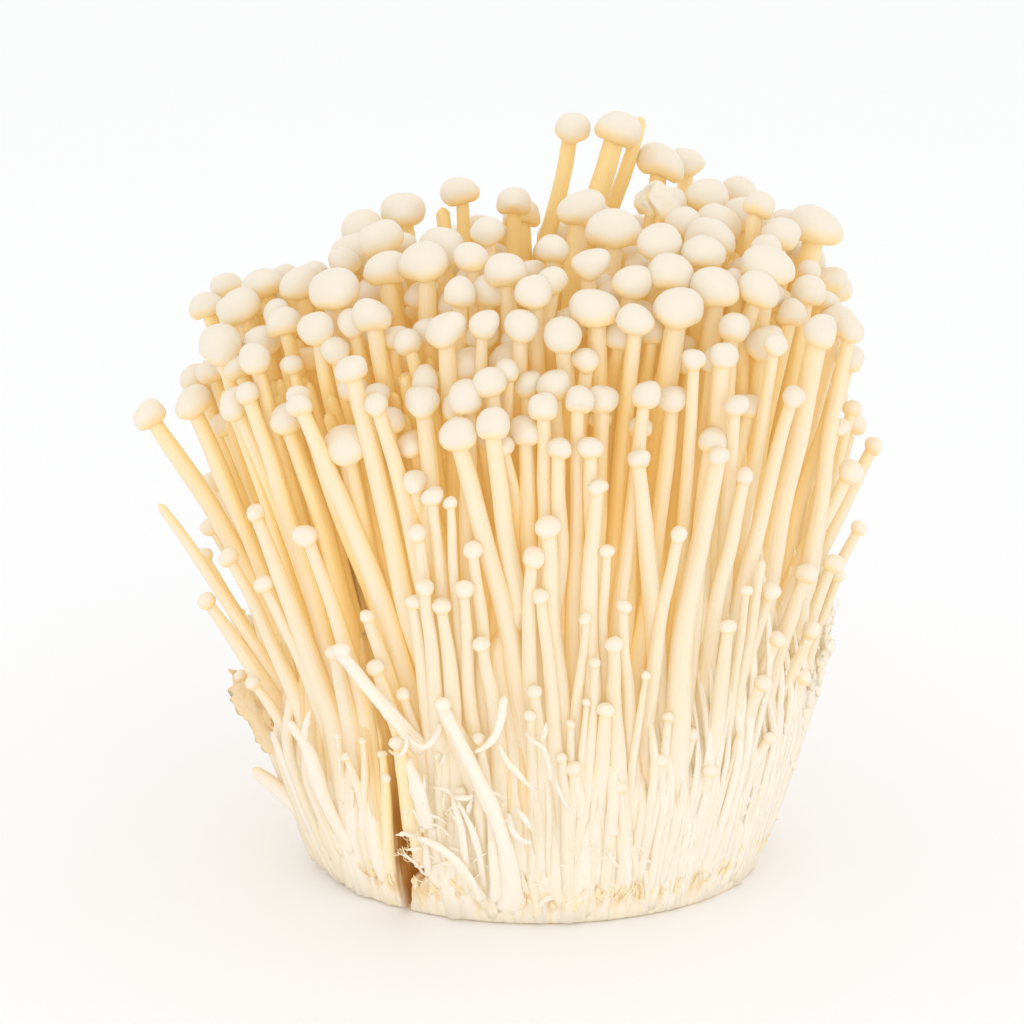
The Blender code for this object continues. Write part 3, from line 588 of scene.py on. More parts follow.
    def side_mushroom(self, rng: np.random.Generator) -> tuple:
        """A smaller mushroom on the outside, between a third and nine tenths of the height."""
        return self.outer_mushroom(rng, (0.0, TURN), (30, 90), (0.92, 0.99), 2.6, 0.10, 0.92, 0.25)

    def back_mushroom(self, rng: np.random.Generator) -> tuple:
        """A mushroom on the sides or the back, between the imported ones."""
        turns = (0.05, math.pi - 0.05)
        return self.outer_mushroom(rng, turns, (38, 92), (0.86, 0.97), 2.8, 0.08, 0.93, 0.24)

    def outer_mushroom(
        self,
        rng: np.random.Generator,
        turns: tuple[float, float],
        heights: tuple[float, float],
        reaches: tuple[float, float],
        gain: float,
        stray: float,
        root: float,
        stem: float,
    ) -> tuple:
        """A mushroom on the outside of the fan, with a larger cap the higher it is.

        Args:
            rng: Seeded draws.
            turns: Least and greatest direction.
            heights: Least and greatest height.
            reaches: Least and greatest share of the way out.
            gain: How much its cap grows with its height.
            stray: How far its root strays to the side.
            root: Share of the way from the middle of the foot to its rim.
            stem: How much its stem grows with its cap.

        Returns:
            Its row.
        """
        turn, z = rng.uniform(*turns), rng.uniform(*heights)
        spot = self.on_fan(turn, z, rng.uniform(*reaches))
        cap = 2.0 + gain * (z / 86) ** 2 + rng.uniform(-0.2, 0.5)
        turn += rng.normal(0, stray)
        return (*self.at_rim(root, turn), *spot, z, cap, self.stem_swell * (1.3 + stem * cap), 1.0)

    def low_mushroom(self, rng: np.random.Generator) -> tuple:
        """A short mushroom at the rim of the foot.

        Args:
            rng: Seeded draws.

        Returns:
            Its row.
        """
        turn, z = rng.random() * TURN, rng.uniform(14, 36)
        spot, cap, stem = self.on_fan(turn, z, 1.0, 0.4), rng.uniform(1.9, 2.6), rng.uniform(1.4, 1.8)
        return (*self.at_rim(0.94, turn), *spot, z, cap, stem, 1.0)

    def rim_pin(self, rng: np.random.Generator) -> tuple:
        """A pin low on the rim, at the sides and the back.

        Args:
            rng: Seeded draws.

        Returns:
            Its row.
        """
        turn, z = rng.uniform(-0.05, math.pi + 0.02), rng.uniform(9, 40)
        cap = rng.uniform(1.2, 2.2)
        return (*self.at_rim(0.96, turn), *self.on_fan(turn, z, 1.0, 0.3), z, cap, 0.75 * cap, 1.0)

    def seam_mushroom(self, rng: np.random.Generator) -> tuple:
        """A mushroom at the back that stands close beside the parting.

        Args:
            rng: Seeded draws.

        Returns:
            Its row.
        """
        z, side, cap = rng.uniform(20, 84), rng.choice((-1.0, 1.0)), rng.uniform(2.2, 3.4)
        ends = []
        for height, away in ((4.0, 1.5), (z, 0.5 * cap + 0.5)):
            wide, deep = FORM.fan(height)
            x = float(FORM.parting_x(0.8 * deep, height)) + side * away
            across = (x - float(FORM.fan_middle(height))) / wide
            y = 0.94 * deep * math.sqrt(max(0.1, 1.0 - across**2))
            ends.append((float(FORM.parting_x(y, height)) + side * away, y))
        return (*ends[0], *ends[1], z, cap, self.stem_swell * (1.2 + 0.25 * cap), 0.4)

    def crown_gap(self, row: tuple, other: tuple) -> float:
        """Crown caps may nearly touch, and keep well clear of the small ones below them."""
        return self.crown_spacing * 0.5 * (row[5] + other[5]) + (1.4 if other[4] > 80 else 0.0)

    @staticmethod
    def under_gap(row: tuple, other: tuple) -> float:
        """Caps that fill gaps are pressed against the ones round them."""
        return 0.41 * (row[5] + other[5])

    @staticmethod
    def inner_gap(row: tuple, other: tuple) -> float:
        """Caps of the second layer fit between the others."""
        return 0.5 * (row[5] + other[5]) + 0.2


class Lines:
    """Centre lines of the mushrooms, settled level by level so that they lie beside each other."""

    level: float = 3.0
    rounds: int = 70
    facing: tuple[float, float] = (0.20, 0.16)
    hook_length: float = 28.0
    root_height: float = 4.0
    bow_size: float = 0.9
    tilt_size: float = 0.14
    free_from: float = 24.0
    free_over: float = 12.0
    clearance: float = 0.15
    firmness: float = 0.7
    longest_step: float = 1.5

    def __init__(self, rows: Array, seed: int, held: Lines | None = None) -> None:
        """Draws each line's bow and tilt, and settles them.

        Args:
            rows: The mushrooms' rows.
            seed: Seed of the draws.
            held: Lines that are settled already, which come first and stay where they are.
        """
        self.root, self.top = rows[:, :2], rows[:, 2:5]
        self.cap, self.stem, self.give = rows[:, 5], rows[:, 6], rows[:, 7]
        self.side = np.sign(FORM.beyond(*rows[:, 2:5].T))
        rng = np.random.default_rng(seed)
        self.bow = rng.normal(0.0, self.bow_size, (len(rows), 2)) * (self.top[:, 2:] / 100)
        facing = (self.top[:, :2] - [FORM.middle, 0.0]) / FORM.widest * self.facing
        self.tilt = facing + rng.normal(0.0, self.tilt_size, (len(rows), 2))
        self.hook = np.array([HOOKS.get(tuple(top), (0.0, 0.0)) for top in self.top])
        self.phase = rng.random(len(rows)) * TURN
        self.levels = np.arange(0.0, self.top[:, 2].max() + 2 * self.level, self.level)
        self.shift = np.zeros((len(rows), len(self.levels), 2))
        self.kept = 0
        if held is not None:
            self.join(held)
        self.settle()
        at = self.centres(np.full((len(self.cap), 1), 30.0), hug=False)[:, 0]
        self.outer = smooth(FORM.edge(*at.T), 0.70, 0.84)

    def join(self, held: Lines) -> None:
        """Puts the lines that stay in front of these.

        Args:
            held: Lines that are settled already.
        """
        self.kept = len(held.cap)
        for name in ("root", "top", "cap", "stem", "side", "bow", "tilt", "hook", "phase"):
            setattr(self, name, np.concatenate([getattr(held, name), getattr(self, name)]))
        self.give = np.concatenate([np.zeros(self.kept), self.give])
        self.levels = held.levels
        own = np.zeros((len(self.cap) - self.kept, len(self.levels), 2))
        self.shift = np.concatenate([held.shift, own])

    def plain(self, heights: Array) -> Array:
        """The unsettled lines: from root to cap, leaning out more as they rise, with a sine bow.

        Some bend over in their last stretch, by a power of the way below the cap.

        Args:
            heights: One row of heights for each mushroom.

        Returns:
            Places in the plan, one pair for each height.
        """
        share = (heights - self.root_height) / (self.top[:, 2:] - self.root_height)
        share = np.clip(share, 0.0, 1.1)[..., None]
        lean = 0.62 * share + 0.38 * share**2
        away = (self.top[:, :2] - self.root)[:, None]
        below = np.clip((self.top[:, 2:] - heights) / self.hook_length, 0.0, 1.0)[..., None]
        bend = self.hook[:, None] * below**1.5 * np.minimum(2.0 * share, 1.0)
        return self.root[:, None] + away * lean + self.bow[:, None] * np.sin(math.pi * share) - bend

    def radii(self) -> Array:
        """Radius of each mushroom at each level: stem, or cap within the cap's height.

        Returns:
            Radii by mushroom and level, 0 above the cap.
        """
        z, top = self.levels[None, :], self.top[:, 2:3]
        half = np.maximum(0.5 * cap_height(self.cap), 0.55 * self.level)[:, None]
        share = (z - self.root_height) / (top - self.root_height)
        stem = 0.5 * self.stem[:, None] * stem_share(share)
        found = np.where(z < top, stem, 0.0)
        return np.where(np.abs(z - top) <= half, np.maximum(0.48 * self.cap[:, None], found), found)

    def settle(self) -> None:
        """Pushes overlapping circles of each level apart, and evens the shifts along each stem."""
        every = np.broadcast_to(self.levels, (len(self.cap), len(self.levels)))
        rest = self.plain(every)
        radii = self.radii()
        last = (radii > 0).sum(axis=1) - 1
        kept = np.minimum(np.arange(len(self.levels))[None, :], last[:, None])
        free = np.clip((self.levels - self.free_from) / self.free_over, 0.0, 1.0)
        start = self.shift[: self.kept].copy()
        for _ in range(self.rounds):
            place = rest + self.shift
            for k, z in enumerate(self.levels):
                here = np.flatnonzero(radii[:, k] > 0)
                if free[k] > 0 and len(here) > 1:
                    self.push(place, radii, here, k, free[k])
                self.keep_side(place, radii, here, k, z)
            self.shift = (place - rest) * 0.99
            self.shift = np.take_along_axis(self.shift, kept[..., None], axis=1)
            around = 0.5 * (self.shift[:, :-2] + self.shift[:, 2:])
            self.shift[:, 1:-1] += 0.4 * (around - self.shift[:, 1:-1])
            self.shift[: self.kept] = start

    def push(self, place: Array, radii: Array, here: Array, k: int, share: float) -> None:
        """Moves the circles of one level apart where they overlap, the freer one further.

        Args:
            place: Places of all circles, changed in place.
            radii: Their radii.
            here: Which mushrooms reach this level.
            k: The level.
            share: How free the stems are at this level.
        """
        points, radius, give = place[here, k], radii[here, k], self.give[here]
        away = points[:, None] - points[None, :]
        far = np.hypot(away[..., 0], away[..., 1]) + np.eye(len(here)) * 1e3
        over = np.clip(radius[:, None] + radius[None, :] + self.clearance - far, 0.0, None)
        part = give[:, None] / np.maximum(give[:, None] + give[None, :], 1e-9)
        step = (over * part / np.maximum(far, 0.05))[..., None] * away
        step = np.clip(step.sum(axis=1), -self.longest_step, self.longest_step)
        place[here, k] += self.firmness * share * step

    def keep_side(self, place: Array, radii: Array, here: Array, k: int, z: float) -> None:
        """Holds every circle of one level on its own side of the parting.

        Args:
            place: Places of all circles, changed in place.
            radii: Their radii.
            here: Which mushrooms reach this level.
            k: The level.
            z: Its height.
        """
        points, side = place[here, k], self.side[here]
        clear = side * FORM.beyond(points[:, 0], points[:, 1], z)
        short = np.clip(1.1 * radii[here, k] + 0.5 * FORM.gap - clear, 0.0, None)
        normal = np.array([1.0, -FORM.skew]) / math.hypot(1.0, FORM.skew)
        place[here, k] += (side * short)[:, None] * normal

    def centres(self, heights: Array, hug: bool = True) -> Array:
        """The settled lines. Outer stems run down on the outside of the foot.

        Args:
            heights: One row of heights for each mushroom.
            hug: Whether the outer ones are drawn out to the rim.

        Returns:
            Points, one for each height.
        """
        at = np.clip(heights / self.level, 0.0, len(self.levels) - 1.001)
        low = at.astype(int)
        part = (at - low)[..., None]
        below = np.take_along_axis(self.shift, low[..., None], axis=1)
        above = np.take_along_axis(self.shift, low[..., None] + 1, axis=1)
        plan = self.plain(heights) + below + (above - below) * part
        if hug:
            middle = joined(FORM.fan_middle(heights), 0.0)
            edge = FORM.edge(plan[..., 0], plan[..., 1], heights)
            ends = 5.5 + 3.5 * np.sin(3.0 * self.phase)[:, None]
            sunk = np.where(self.side > 0, 0.75, 0.1)[:, None] * (1.0 - smooth(heights, ends - 5.0, ends))
            rim = 0.99 - (0.33 + sunk) * self.stem[:, None] / 35.0
            part = self.outer[:, None] * (1.0 - smooth(heights, 7.0, 32.0))
            out = np.maximum(rim / np.maximum(edge, 0.1) - 1.0, -0.02)
            plan = middle + (plan - middle) * (1.0 + part * out)[..., None]
        return np.concatenate([plan, heights[..., None]], axis=-1)


# ---------------------------------------------------------------------------------------------
# Surfaces
# ---------------------------------------------------------------------------------------------


def grid_quads(rows: int, columns: int, closed: bool) -> Array:
    """Corner numbers of the quads of a grid of points, row by row.

    Args:
        rows: Rows of points.
        columns: Points in each row.
        closed: Whether the last point of a row joins the first.

    Returns:
        One row of four corners for each quad, turned outwards when rows go up and points go round.
    """
    across = columns if closed else columns - 1
    first = np.arange(across)
    after = (first + 1) % columns
    base = np.arange(rows - 1)[:, None] * columns
    quads = np.stack([base + first, base + after, base + after + columns, base + first + columns], -1)
    return quads.reshape(-1, 4)


def ring_frames(axes: Array) -> tuple[Array, Array]:
    """Two directions square to each axis, the first one as near to +X as it can be.

    Args:
        axes: Unit axes, with x, y and z in the last axis.

    Returns:
        The two directions.
    """
    across = np.zeros_like(axes)
    across[..., 0] = 1.0
    across -= axes[..., :1] * axes
    across /= np.linalg.norm(across, axis=-1, keepdims=True)
    return across, np.cross(axes, across)


def along(points: Array) -> Array:
    """Unit tangents of lines of points: differences of neighbours, made one long."""
    step = np.gradient(points, axis=-2)
    return step / np.maximum(np.linalg.norm(step, axis=-1, keepdims=True), 1e-9)


def joined(*parts: Values) -> Array:
    """Numbers side by side in a new last axis, each stretched to the shape of them all."""
    return np.stack(np.broadcast_arrays(*parts), axis=-1)


def even_turns(sides: int) -> Array:
    """Directions spread evenly round a circle."""
    return np.arange(sides) * TURN / sides


def rings_along(middles: Array, radius: Values, turn: Array) -> tuple[Array, Array]:
    """Rings square to lines of points: a cosine and a sine of each side's direction, times its radius.

    Args:
        middles: Points by line and ring.
        radius: Radii by line, ring and side, or one for all.
        turn: Directions of the sides.

    Returns:
        The points of the rings and the directions that they face.
    """
    across, other = ring_frames(along(middles))
    ring = np.cos(turn)[..., None] * across[:, :, None] + np.sin(turn)[..., None] * other[:, :, None]
    return middles[:, :, None] + np.asarray(radius)[..., None] * ring, ring


def ball(reach: float, rings: int, sides: int, height: float = 1.0) -> Array:
    """Points of a ball of radius 1: cosines of the rise and the direction, and a sine for the height.

    Args:
        reach: How far the rings go up and down from its middle, in radians.
        rings: How many rings.
        sides: Points in each ring.
        height: Its height as a share of its width.

    Returns:
        Points by ring and side.
    """
    rise, around = np.linspace(-reach, reach, rings)[:, None], even_turns(sides)
    return joined(np.cos(rise) * np.cos(around), np.cos(rise) * np.sin(around), height * np.sin(rise))


@dataclass
class Surface:
    """Points, faces and marks of one piece in the making, in millimetres."""

    points: list[Array] = field(default_factory=list)
    faces: list[Array] = field(default_factory=list)
    marks: dict[str, list[Array]] = field(default_factory=dict)
    count: int = 0

    def add(self, points: Array, faces: list[Array], marks: dict[str, Array]) -> None:
        """Adds points with their faces, numbered from 0, and their marks.

        Args:
            points: One row for each point.
            faces: Arrays of quads or triangles.
            marks: One value or vector for each point, by name.
        """
        self.points.append(points)
        self.faces += [part + self.count for part in faces]
        for name, values in marks.items():
            self.marks.setdefault(name, []).append(values)
        self.count += len(points)

    def add_tubes(self, rings: Array, low: Array, high: Array, marks: dict[str, Array]) -> None:
        """Adds closed tubes: rings of points joined by quads, with a fan of triangles at each pole.

        Args:
            rings: Points by tube, ring and side.
            low: The lower poles.
            high: The upper poles.
            marks: Values by tube, ring and side; a pole takes the mean of the ring beside it.
        """
        tubes, count, sides = rings.shape[:3]
        size = count * sides + 2
        flat = rings.reshape(tubes, count * sides, 3)
        points = np.concatenate([flat, low[:, None], high[:, None]], axis=1).reshape(-1, 3)
        first = np.arange(sides)
        after = (first + 1) % sides
        last = (count - 1) * sides
        bottom = np.stack([np.full(sides, size - 2), after, first], -1)
        top = np.stack([np.full(sides, size - 1), last + first, last + after], -1)
        base = np.arange(tubes)[:, None, None] * size
        quads = (grid_quads(count, sides, True)[None] + base).reshape(-1, 4)
        fans = (np.concatenate([bottom, top])[None] + base).reshape(-1, 3)
        spread = {}
        for name, values in marks.items():
            tail = values.shape[3:]
            full = values.reshape(tubes, count * sides, *tail)
            ends = [values[:, end].mean(axis=1)[:, None] for end in (0, -1)]
            spread[name] = np.concatenate([full, *ends], axis=1).reshape(-1, *tail)
        self.add(points, [quads, fans], spread)

    def triangles(self) -> int:
        """How many triangles the faces make."""
        return sum(len(part) * (part.shape[1] - 2) for part in self.faces)

    def piece(self, name: str, material: bpy.types.Material, node: str) -> bpy.types.Object:
        """Makes the object, and ties it to the frame.

        Args:
            name: Name of the piece.
            material: Its finish.
            node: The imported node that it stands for.

        Returns:
            The object, at the origin and unturned.
        """
        mesh = bpy.data.meshes.new(name)
        points = np.concatenate(self.points) * MM
        mesh.vertices.add(len(points))
        mesh.vertices.foreach_set("co", points.astype(np.float32).ravel())
        corners = np.concatenate([part.ravel() for part in self.faces])
        sizes = np.concatenate([np.full(len(part), part.shape[1]) for part in self.faces])
        mesh.loops.add(len(corners))
        mesh.loops.foreach_set("vertex_index", corners.astype(np.int32))
        mesh.polygons.add(len(sizes))
        starts = np.concatenate([[0], np.cumsum(sizes)[:-1]])
        mesh.polygons.foreach_set("loop_start", starts.astype(np.int32))
        mesh.update(calc_edges=True)
        for label, parts in self.marks.items():
            values = np.concatenate(parts).astype(np.float32)
            kind = "FLOAT_VECTOR" if values.ndim == 2 else "FLOAT"
            mark = mesh.attributes.new(label, kind, "POINT")
            mark.data.foreach_set("vector" if values.ndim == 2 else "value", values.ravel())
        mesh.shade_smooth()
        mesh.materials.append(material)
        made = bpy.data.objects.new(name, mesh)
        bpy.context.scene.collection.objects.link(made)
        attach(made, BODY)
        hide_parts(node)
        node + "_skin"
        LOG.info("%s: %d triangles", name, self.triangles())
        return made


# ---------------------------------------------------------------------------------------------
# Finishes
# ---------------------------------------------------------------------------------------------


class Maths:
    """A number socket with operators: each one adds a Math node."""

    def __init__(self, shader: Shader, socket: bpy.types.NodeSocket) -> None:
        """Wraps a socket of the shader's tree."""
        self.shader, self.socket = shader, socket

    def _with(self, operation: str, *values: Maths | float) -> Maths:
        """The result of a Math node on this socket and the values."""
        inputs = dict(enumerate(values))
        return self.shader.value("ShaderNodeMath", {"operation": operation}, inputs)

    def __add__(self, other: Maths | float) -> Maths:
        """Sum."""
        return self._with("ADD", self, other)

    __radd__ = __add__

    def __mul__(self, other: Maths | float) -> Maths:
        """Product."""
        return self._with("MULTIPLY", self, other)

    __rmul__ = __mul__

    def __sub__(self, other: Maths | float) -> Maths:
        """Difference."""
        return self._with("SUBTRACT", self, other)

    def __rsub__(self, other: Maths | float) -> Maths:
        """Difference from a number."""
        return self._with("SUBTRACT", other, self)

    def step(self, low: float, high: float) -> Maths:
        """Smooth step from 0 at low to 1 at high."""
        inputs = {"Value": self, "From Min": low, "From Max": high}
        return self.shader.value("ShaderNodeMapRange", {"interpolation_type": "SMOOTHSTEP"}, inputs)


class Shader:
    """Nodes of one material, round a Principled shader."""

    def __init__(self, name: str, constants: dict[str, float | tuple]) -> None:
        """Makes the material.

        Args:
            name: Its name.
            constants: Values that are the same all over, by the shader's socket.
        """
        self.material = bpy.data.materials.new(name)
        self.material.use_nodes = True
        self.tree = self.material.node_tree
        self.principled = self.tree.nodes["Principled BSDF"]
        for socket, value in constants.items():
            self.principled.inputs[socket].default_value = value

    def node(self, kind: str, settings: dict, inputs: dict) -> bpy.types.Node:
        """Adds a node.

        Args:
            kind: The node's type.
            settings: Its properties, set first; "stops" are a ramp's positions and colours.
            inputs: Values or links of its sockets, by name or number.

        Returns:
            The node.
        """
        made = self.tree.nodes.new(kind)
        for key, value in settings.items():
            if key == "stops":
                ramp = made.color_ramp.elements
                while len(ramp) < len(value):
                    ramp.new(0.5)
                for stop, (place, colour) in zip(ramp, value):
                    stop.position, stop.color = place, (*colour, 1.0)
            else:
                setattr(made, key, value)
        for key, value in inputs.items():
            self.feed(made.inputs[key], value)
        return made

    def feed(self, socket: bpy.types.NodeSocket, value: object) -> None:
        """Links or sets one socket.

        Args:
            socket: The socket.
            value: A socket, a wrapped socket, a number or a colour.
        """
        if isinstance(value, Maths):
            value = value.socket
        if isinstance(value, bpy.types.NodeSocket):
            self.tree.links.new(value, socket)
        elif socket.type == "RGBA" and len(value) == 3:
            socket.default_value = (*value, 1.0)
        else:
            socket.default_value = value

    def value(self, kind: str, settings: dict, inputs: dict, output: int | str = 0) -> Maths:
        """A node's number, ready for more maths."""
        return Maths(self, self.node(kind, settings, inputs).outputs[output])

    def mark(self, name: str, output: str = "Fac") -> Maths:
        """A mark of the mesh."""
        return self.value("ShaderNodeAttribute", {"attribute_name": name}, {}, output)

    def place(self) -> bpy.types.NodeSocket:
        """Object coordinates."""
        return self.node("ShaderNodeTexCoord", {}, {}).outputs["Object"]

    def stretched(self, vector: object, scale: tuple[float, float, float]) -> bpy.types.NodeSocket:
        """A vector scaled along its axes."""
        inputs = {0: vector, 1: scale}
        return self.node("ShaderNodeVectorMath", {"operation": "MULTIPLY"}, inputs).outputs[0]

    def parts(self, vector: object) -> tuple[Maths, Maths, Maths]:
        """The x, y and z of a vector."""
        split = self.node("ShaderNodeSeparateXYZ", {}, {0: vector})
        return tuple(Maths(self, output) for output in split.outputs)

    def noise(self, vector: object, scale: float, detail: float = 3.0, rough: float = 0.55) -> Maths:
        """A noise pattern, from 0 to 1."""
        inputs = {"Vector": vector, "Scale": scale, "Detail": detail, "Roughness": rough}
        return self.value("ShaderNodeTexNoise", {}, inputs, "Fac")

    def mix(self, factor: Maths | float, first: object, second: object) -> bpy.types.NodeSocket:
        """A colour between two.

        Args:
            factor: How much of the second.
            first: A colour or a socket.
            second: A colour or a socket.

        Returns:
            The socket of the mixed colour.
        """
        made = self.node("ShaderNodeMix", {"data_type": "RGBA"}, {})
        for socket, value in ((0, factor), (6, first), (7, second)):
            self.feed(made.inputs[socket], value)
        return made.outputs[2]

    def bump(self, height: Maths, strength: float, distance: float) -> None:
        """Feeds the normal from a height pattern."""
        inputs = {"Strength": strength, "Distance": distance, "Height": height}
        self.set("Normal", self.node("ShaderNodeBump", {}, inputs).outputs["Normal"])

    def set(self, socket: str, value: object) -> None:
        """Feeds one of the shader's sockets."""
        self.feed(self.principled.inputs[socket], value)


@dataclass(frozen=True)
class CapSkin:
    """Satin skin of the caps: near white on top, painted peach shade at the rim, below and deeper in."""

    top: Colour = (0.83, 0.755, 0.635)
    # Painted shade: rim darkens the lower rim and the underside, and deep the caps deeper in the bunch.
    rim: Colour = (0.83, 0.64, 0.32)
    deep: Colour = (0.86, 0.63, 0.25)
    # Painted glow: faint lights the high caps, pin the low caps more, and glow is added in the shade.
    faint: Colour = (0.18, 0.14, 0.075)
    pin: Colour = (0.38, 0.32, 0.21)
    glow: Colour = (0.60, 0.41, 0.12)
    mark: Colour = (0.80, 0.60, 0.38)
    roughness: float = 0.42

    def make(self, name: str) -> bpy.types.Material:
        """Painted shade at rim and depth, a painted glow, faint mottling, a few tan flecks and a fine
        pitted bump.

        Args:
            name: Name of the material.

        Returns:
            The material.
        """
        shader = Shader(name, {"Specular IOR Level": 0.35, "Emission Strength": 0.3})
        place = shader.place()
        mottle = shader.noise(place, 420.0)
        # Painted shade on the lower part and the underside of each cap, with a mottled edge.
        rim = (shader.mark("rim") + (mottle - 0.5) * 0.3).step(0.05, 0.95)
        colour = shader.mix(rim * 0.85, self.top, self.rim)
        # Painted shade deeper in the bunch and under the crown.
        amber = shader.mark("shade").step(0.1, 1.0)
        colour = shader.mix(amber * 0.8, colour, self.deep)
        # Painted glow: emission in the painted shade and at the rim, on a faint base that is stronger on
        # low caps.
        painted_glow_share = 1 - (1 - amber) * (1 - rim * 0.9)
        faint = shader.mix(shader.parts(place)[2].step(0.062, 0.09), self.pin, self.faint)
        shader.set("Emission Color", shader.mix(painted_glow_share, faint, self.glow))
        fleck = shader.noise(place, 900.0, 2.0).step(0.66, 0.78)
        fleck = fleck * shader.noise(place, 160.0).step(0.5, 0.62)
        shader.set("Base Color", shader.mix(fleck * 0.22, colour, self.mark))
        shader.set("Roughness", self.roughness + (mottle - 0.5) * 0.2)
        shader.bump(shader.noise(place, 2600.0, 2.0) + mottle * 1.5, 0.25, 0.00012)
        return shader.material


@dataclass(frozen=True)
class StemSkin:
    """Pale fibrous skin of the stems: cream, with painted amber shade between them and a painted glow."""

    pale: Colour = (0.845, 0.745, 0.585)
    white: Colour = (0.885, 0.825, 0.74)
    # Painted shade: deep for stems between and behind others, and a darker amber in the deepest gaps.
    deep: Colour = (0.89, 0.69, 0.33)
    streak: Colour = (0.92, 0.75, 0.48)
    brown: Colour = (0.62, 0.43, 0.28)
    # Painted glow: faint outside, glow in the shade, less in the deepest gaps, and dimmer high up and on
    # the left.
    faint: Colour = (0.37, 0.295, 0.155)
    glow: Colour = (0.70, 0.54, 0.24)
    painted_dimming: Colour = (0.36, 0.22, 0.06)
    deepest_shade: Colour = (0.84, 0.64, 0.29)
    painted_shadow: Colour = (0.56, 0.40, 0.14)
    roughness: float = 0.38

    def make(self, name: str) -> bpy.types.Material:
        """Lengthwise streaks and fibres, whiter near the foot, painted amber shade by depth, painted glow.

        Args:
            name: Name of the material.

        Returns:
            The material.
        """
        shader = Shader(name, {"Specular IOR Level": 0.3, "Emission Strength": 0.3})
        grain = shader.mark("grain", "Vector").socket
        streak = shader.noise(shader.stretched(grain, (1.0, 1.0, 0.05)), 1.3, 3.0)
        fibre = shader.noise(shader.stretched(grain, (1.0, 1.0, 0.03)), 5.0, 3.0)
        blotch = shader.noise(shader.stretched(grain, (0.4, 0.4, 0.2)), 0.6, 2.0)
        colour = shader.mix(shader.mark("low"), self.pale, self.white)
        colour = shader.mix(streak.step(0.45, 0.75) * 0.4, colour, self.streak)
        colour = shader.mix(shader.mark("stain") * (0.6 + streak * 0.7), colour, self.brown)
        # Painted shade from the shade mark, patchy by blotches, and darker still in the deepest gaps.
        amber = (shader.mark("shade") + (blotch - 0.5) * 0.25).step(0.05, 0.85)
        deepest_shade = amber.step(0.8, 1.0)
        colour = shader.mix(amber * 0.9, colour, self.deep)
        shader.set("Base Color", shader.mix(deepest_shade * 0.8, colour, self.deepest_shade))
        # Painted glow of the emission, dimmed as painted shade high up under the caps and on the left side.
        across, _, height = shader.parts(shader.place())
        painted_dimming = 1 - (1 - height.step(0.055, 0.095)) * (1 - (across * -1).step(0.012, 0.042) * 0.7)
        glow = shader.mix(deepest_shade, shader.mix(amber, self.faint, self.glow), self.painted_shadow)
        shader.set("Emission Color", shader.mix(painted_dimming * 0.6, glow, self.painted_dimming))
        shader.set("Roughness", self.roughness + (streak - 0.5) * 0.25)
        shader.bump(streak * 1.2 + fibre * 0.8, 0.6, 0.00025)
        return shader.material


@dataclass(frozen=True)
class FootSkin:
    """Fused stem bases: white cream ribs, painted amber shade in the valleys, ochre near the cut, pale
    fuzz.
    """

    crest: Colour = (0.90, 0.82, 0.70)
    # Painted shade: valley in the ribs' valleys, deep between and behind the stems, brown in the hollow.
    valley: Colour = (0.93, 0.70, 0.38)
    deep: Colour = (0.86, 0.65, 0.33)
    brown: Colour = (0.42, 0.17, 0.02)
    # Painted glow: faint outside, glow in the shade, and brown in the hollow.
    faint: Colour = (0.30, 0.23, 0.125)
    glow: Colour = (0.46, 0.34, 0.15)
    ochre: Colour = (0.82, 0.56, 0.26)
    cut: Colour = (0.89, 0.80, 0.66)
    fuzz: Colour = (0.93, 0.87, 0.79)
    roughness: float = 0.6

    def make(self, name: str) -> bpy.types.Material:
        """Colour by height and fuzz, painted shade by rib, depth and hollow, a painted glow, and fine
        lengthwise fibres in the bump.

        Args:
            name: Name of the material.

        Returns:
            The material.
        """
        shader = Shader(name, {"Specular IOR Level": 0.3, "Emission Strength": 0.25})
        place = shader.place()
        grain = shader.mark("grain", "Vector").socket
        fibre = shader.noise(shader.stretched(grain, (1.0, 1.0, 0.08)), 2.2, 4.0, 0.65)
        blotch = shader.noise(place, 260.0, 4.0, 0.65)
        height = shader.mark("height")
        # Painted shade in the valleys between the ribs.
        colour = shader.mix(shader.mark("rib").step(0.15, 0.8), self.valley, self.crest)
        # Painted shade by the shade mark, painted brown shade in the torn hollow and the cleft, and a
        # painted glow.
        amber, hollow = shader.mark("shade"), shader.mark("hollow")
        colour = shader.mix(hollow, shader.mix(amber, colour, self.deep), self.brown)
        glow = shader.mix(amber, self.faint, self.glow)
        shader.set("Emission Color", shader.mix(hollow, glow, self.brown))
        stain = (height + (blotch - 0.5) * 6.0).step(2.2, 4.4)
        stain = stain * (1 - (height + (blotch - 0.5) * 7.0).step(5.0, 8.5))
        colour = shader.mix(stain * fibre.step(0.3, 0.6) * 0.65, colour, self.ochre)
        colour = shader.mix((1 - height.step(1.5, 4.0)) * (1 - hollow) * 0.75, colour, self.cut)
        settings, inputs = {"feature": "DISTANCE_TO_EDGE"}, {"Vector": place, "Scale": 430.0}
        cells = shader.value("ShaderNodeTexVoronoi", settings, inputs, "Distance")
        rings = (1 - cells.step(0.03, 0.22)) * (1 - height.step(0.05, 0.4))
        colour = shader.mix(rings * 0.55, colour, self.ochre)
        fuzz = shader.mark("fuzz") * (0.4 + blotch)
        shader.set("Base Color", shader.mix(fuzz.step(0.1, 0.8) * 0.85, colour, self.fuzz))
        shader.set("Roughness", self.roughness + fuzz * 0.2)
        shader.bump(fibre * 1.5 + blotch, 0.5, 0.0004)
        return shader.material


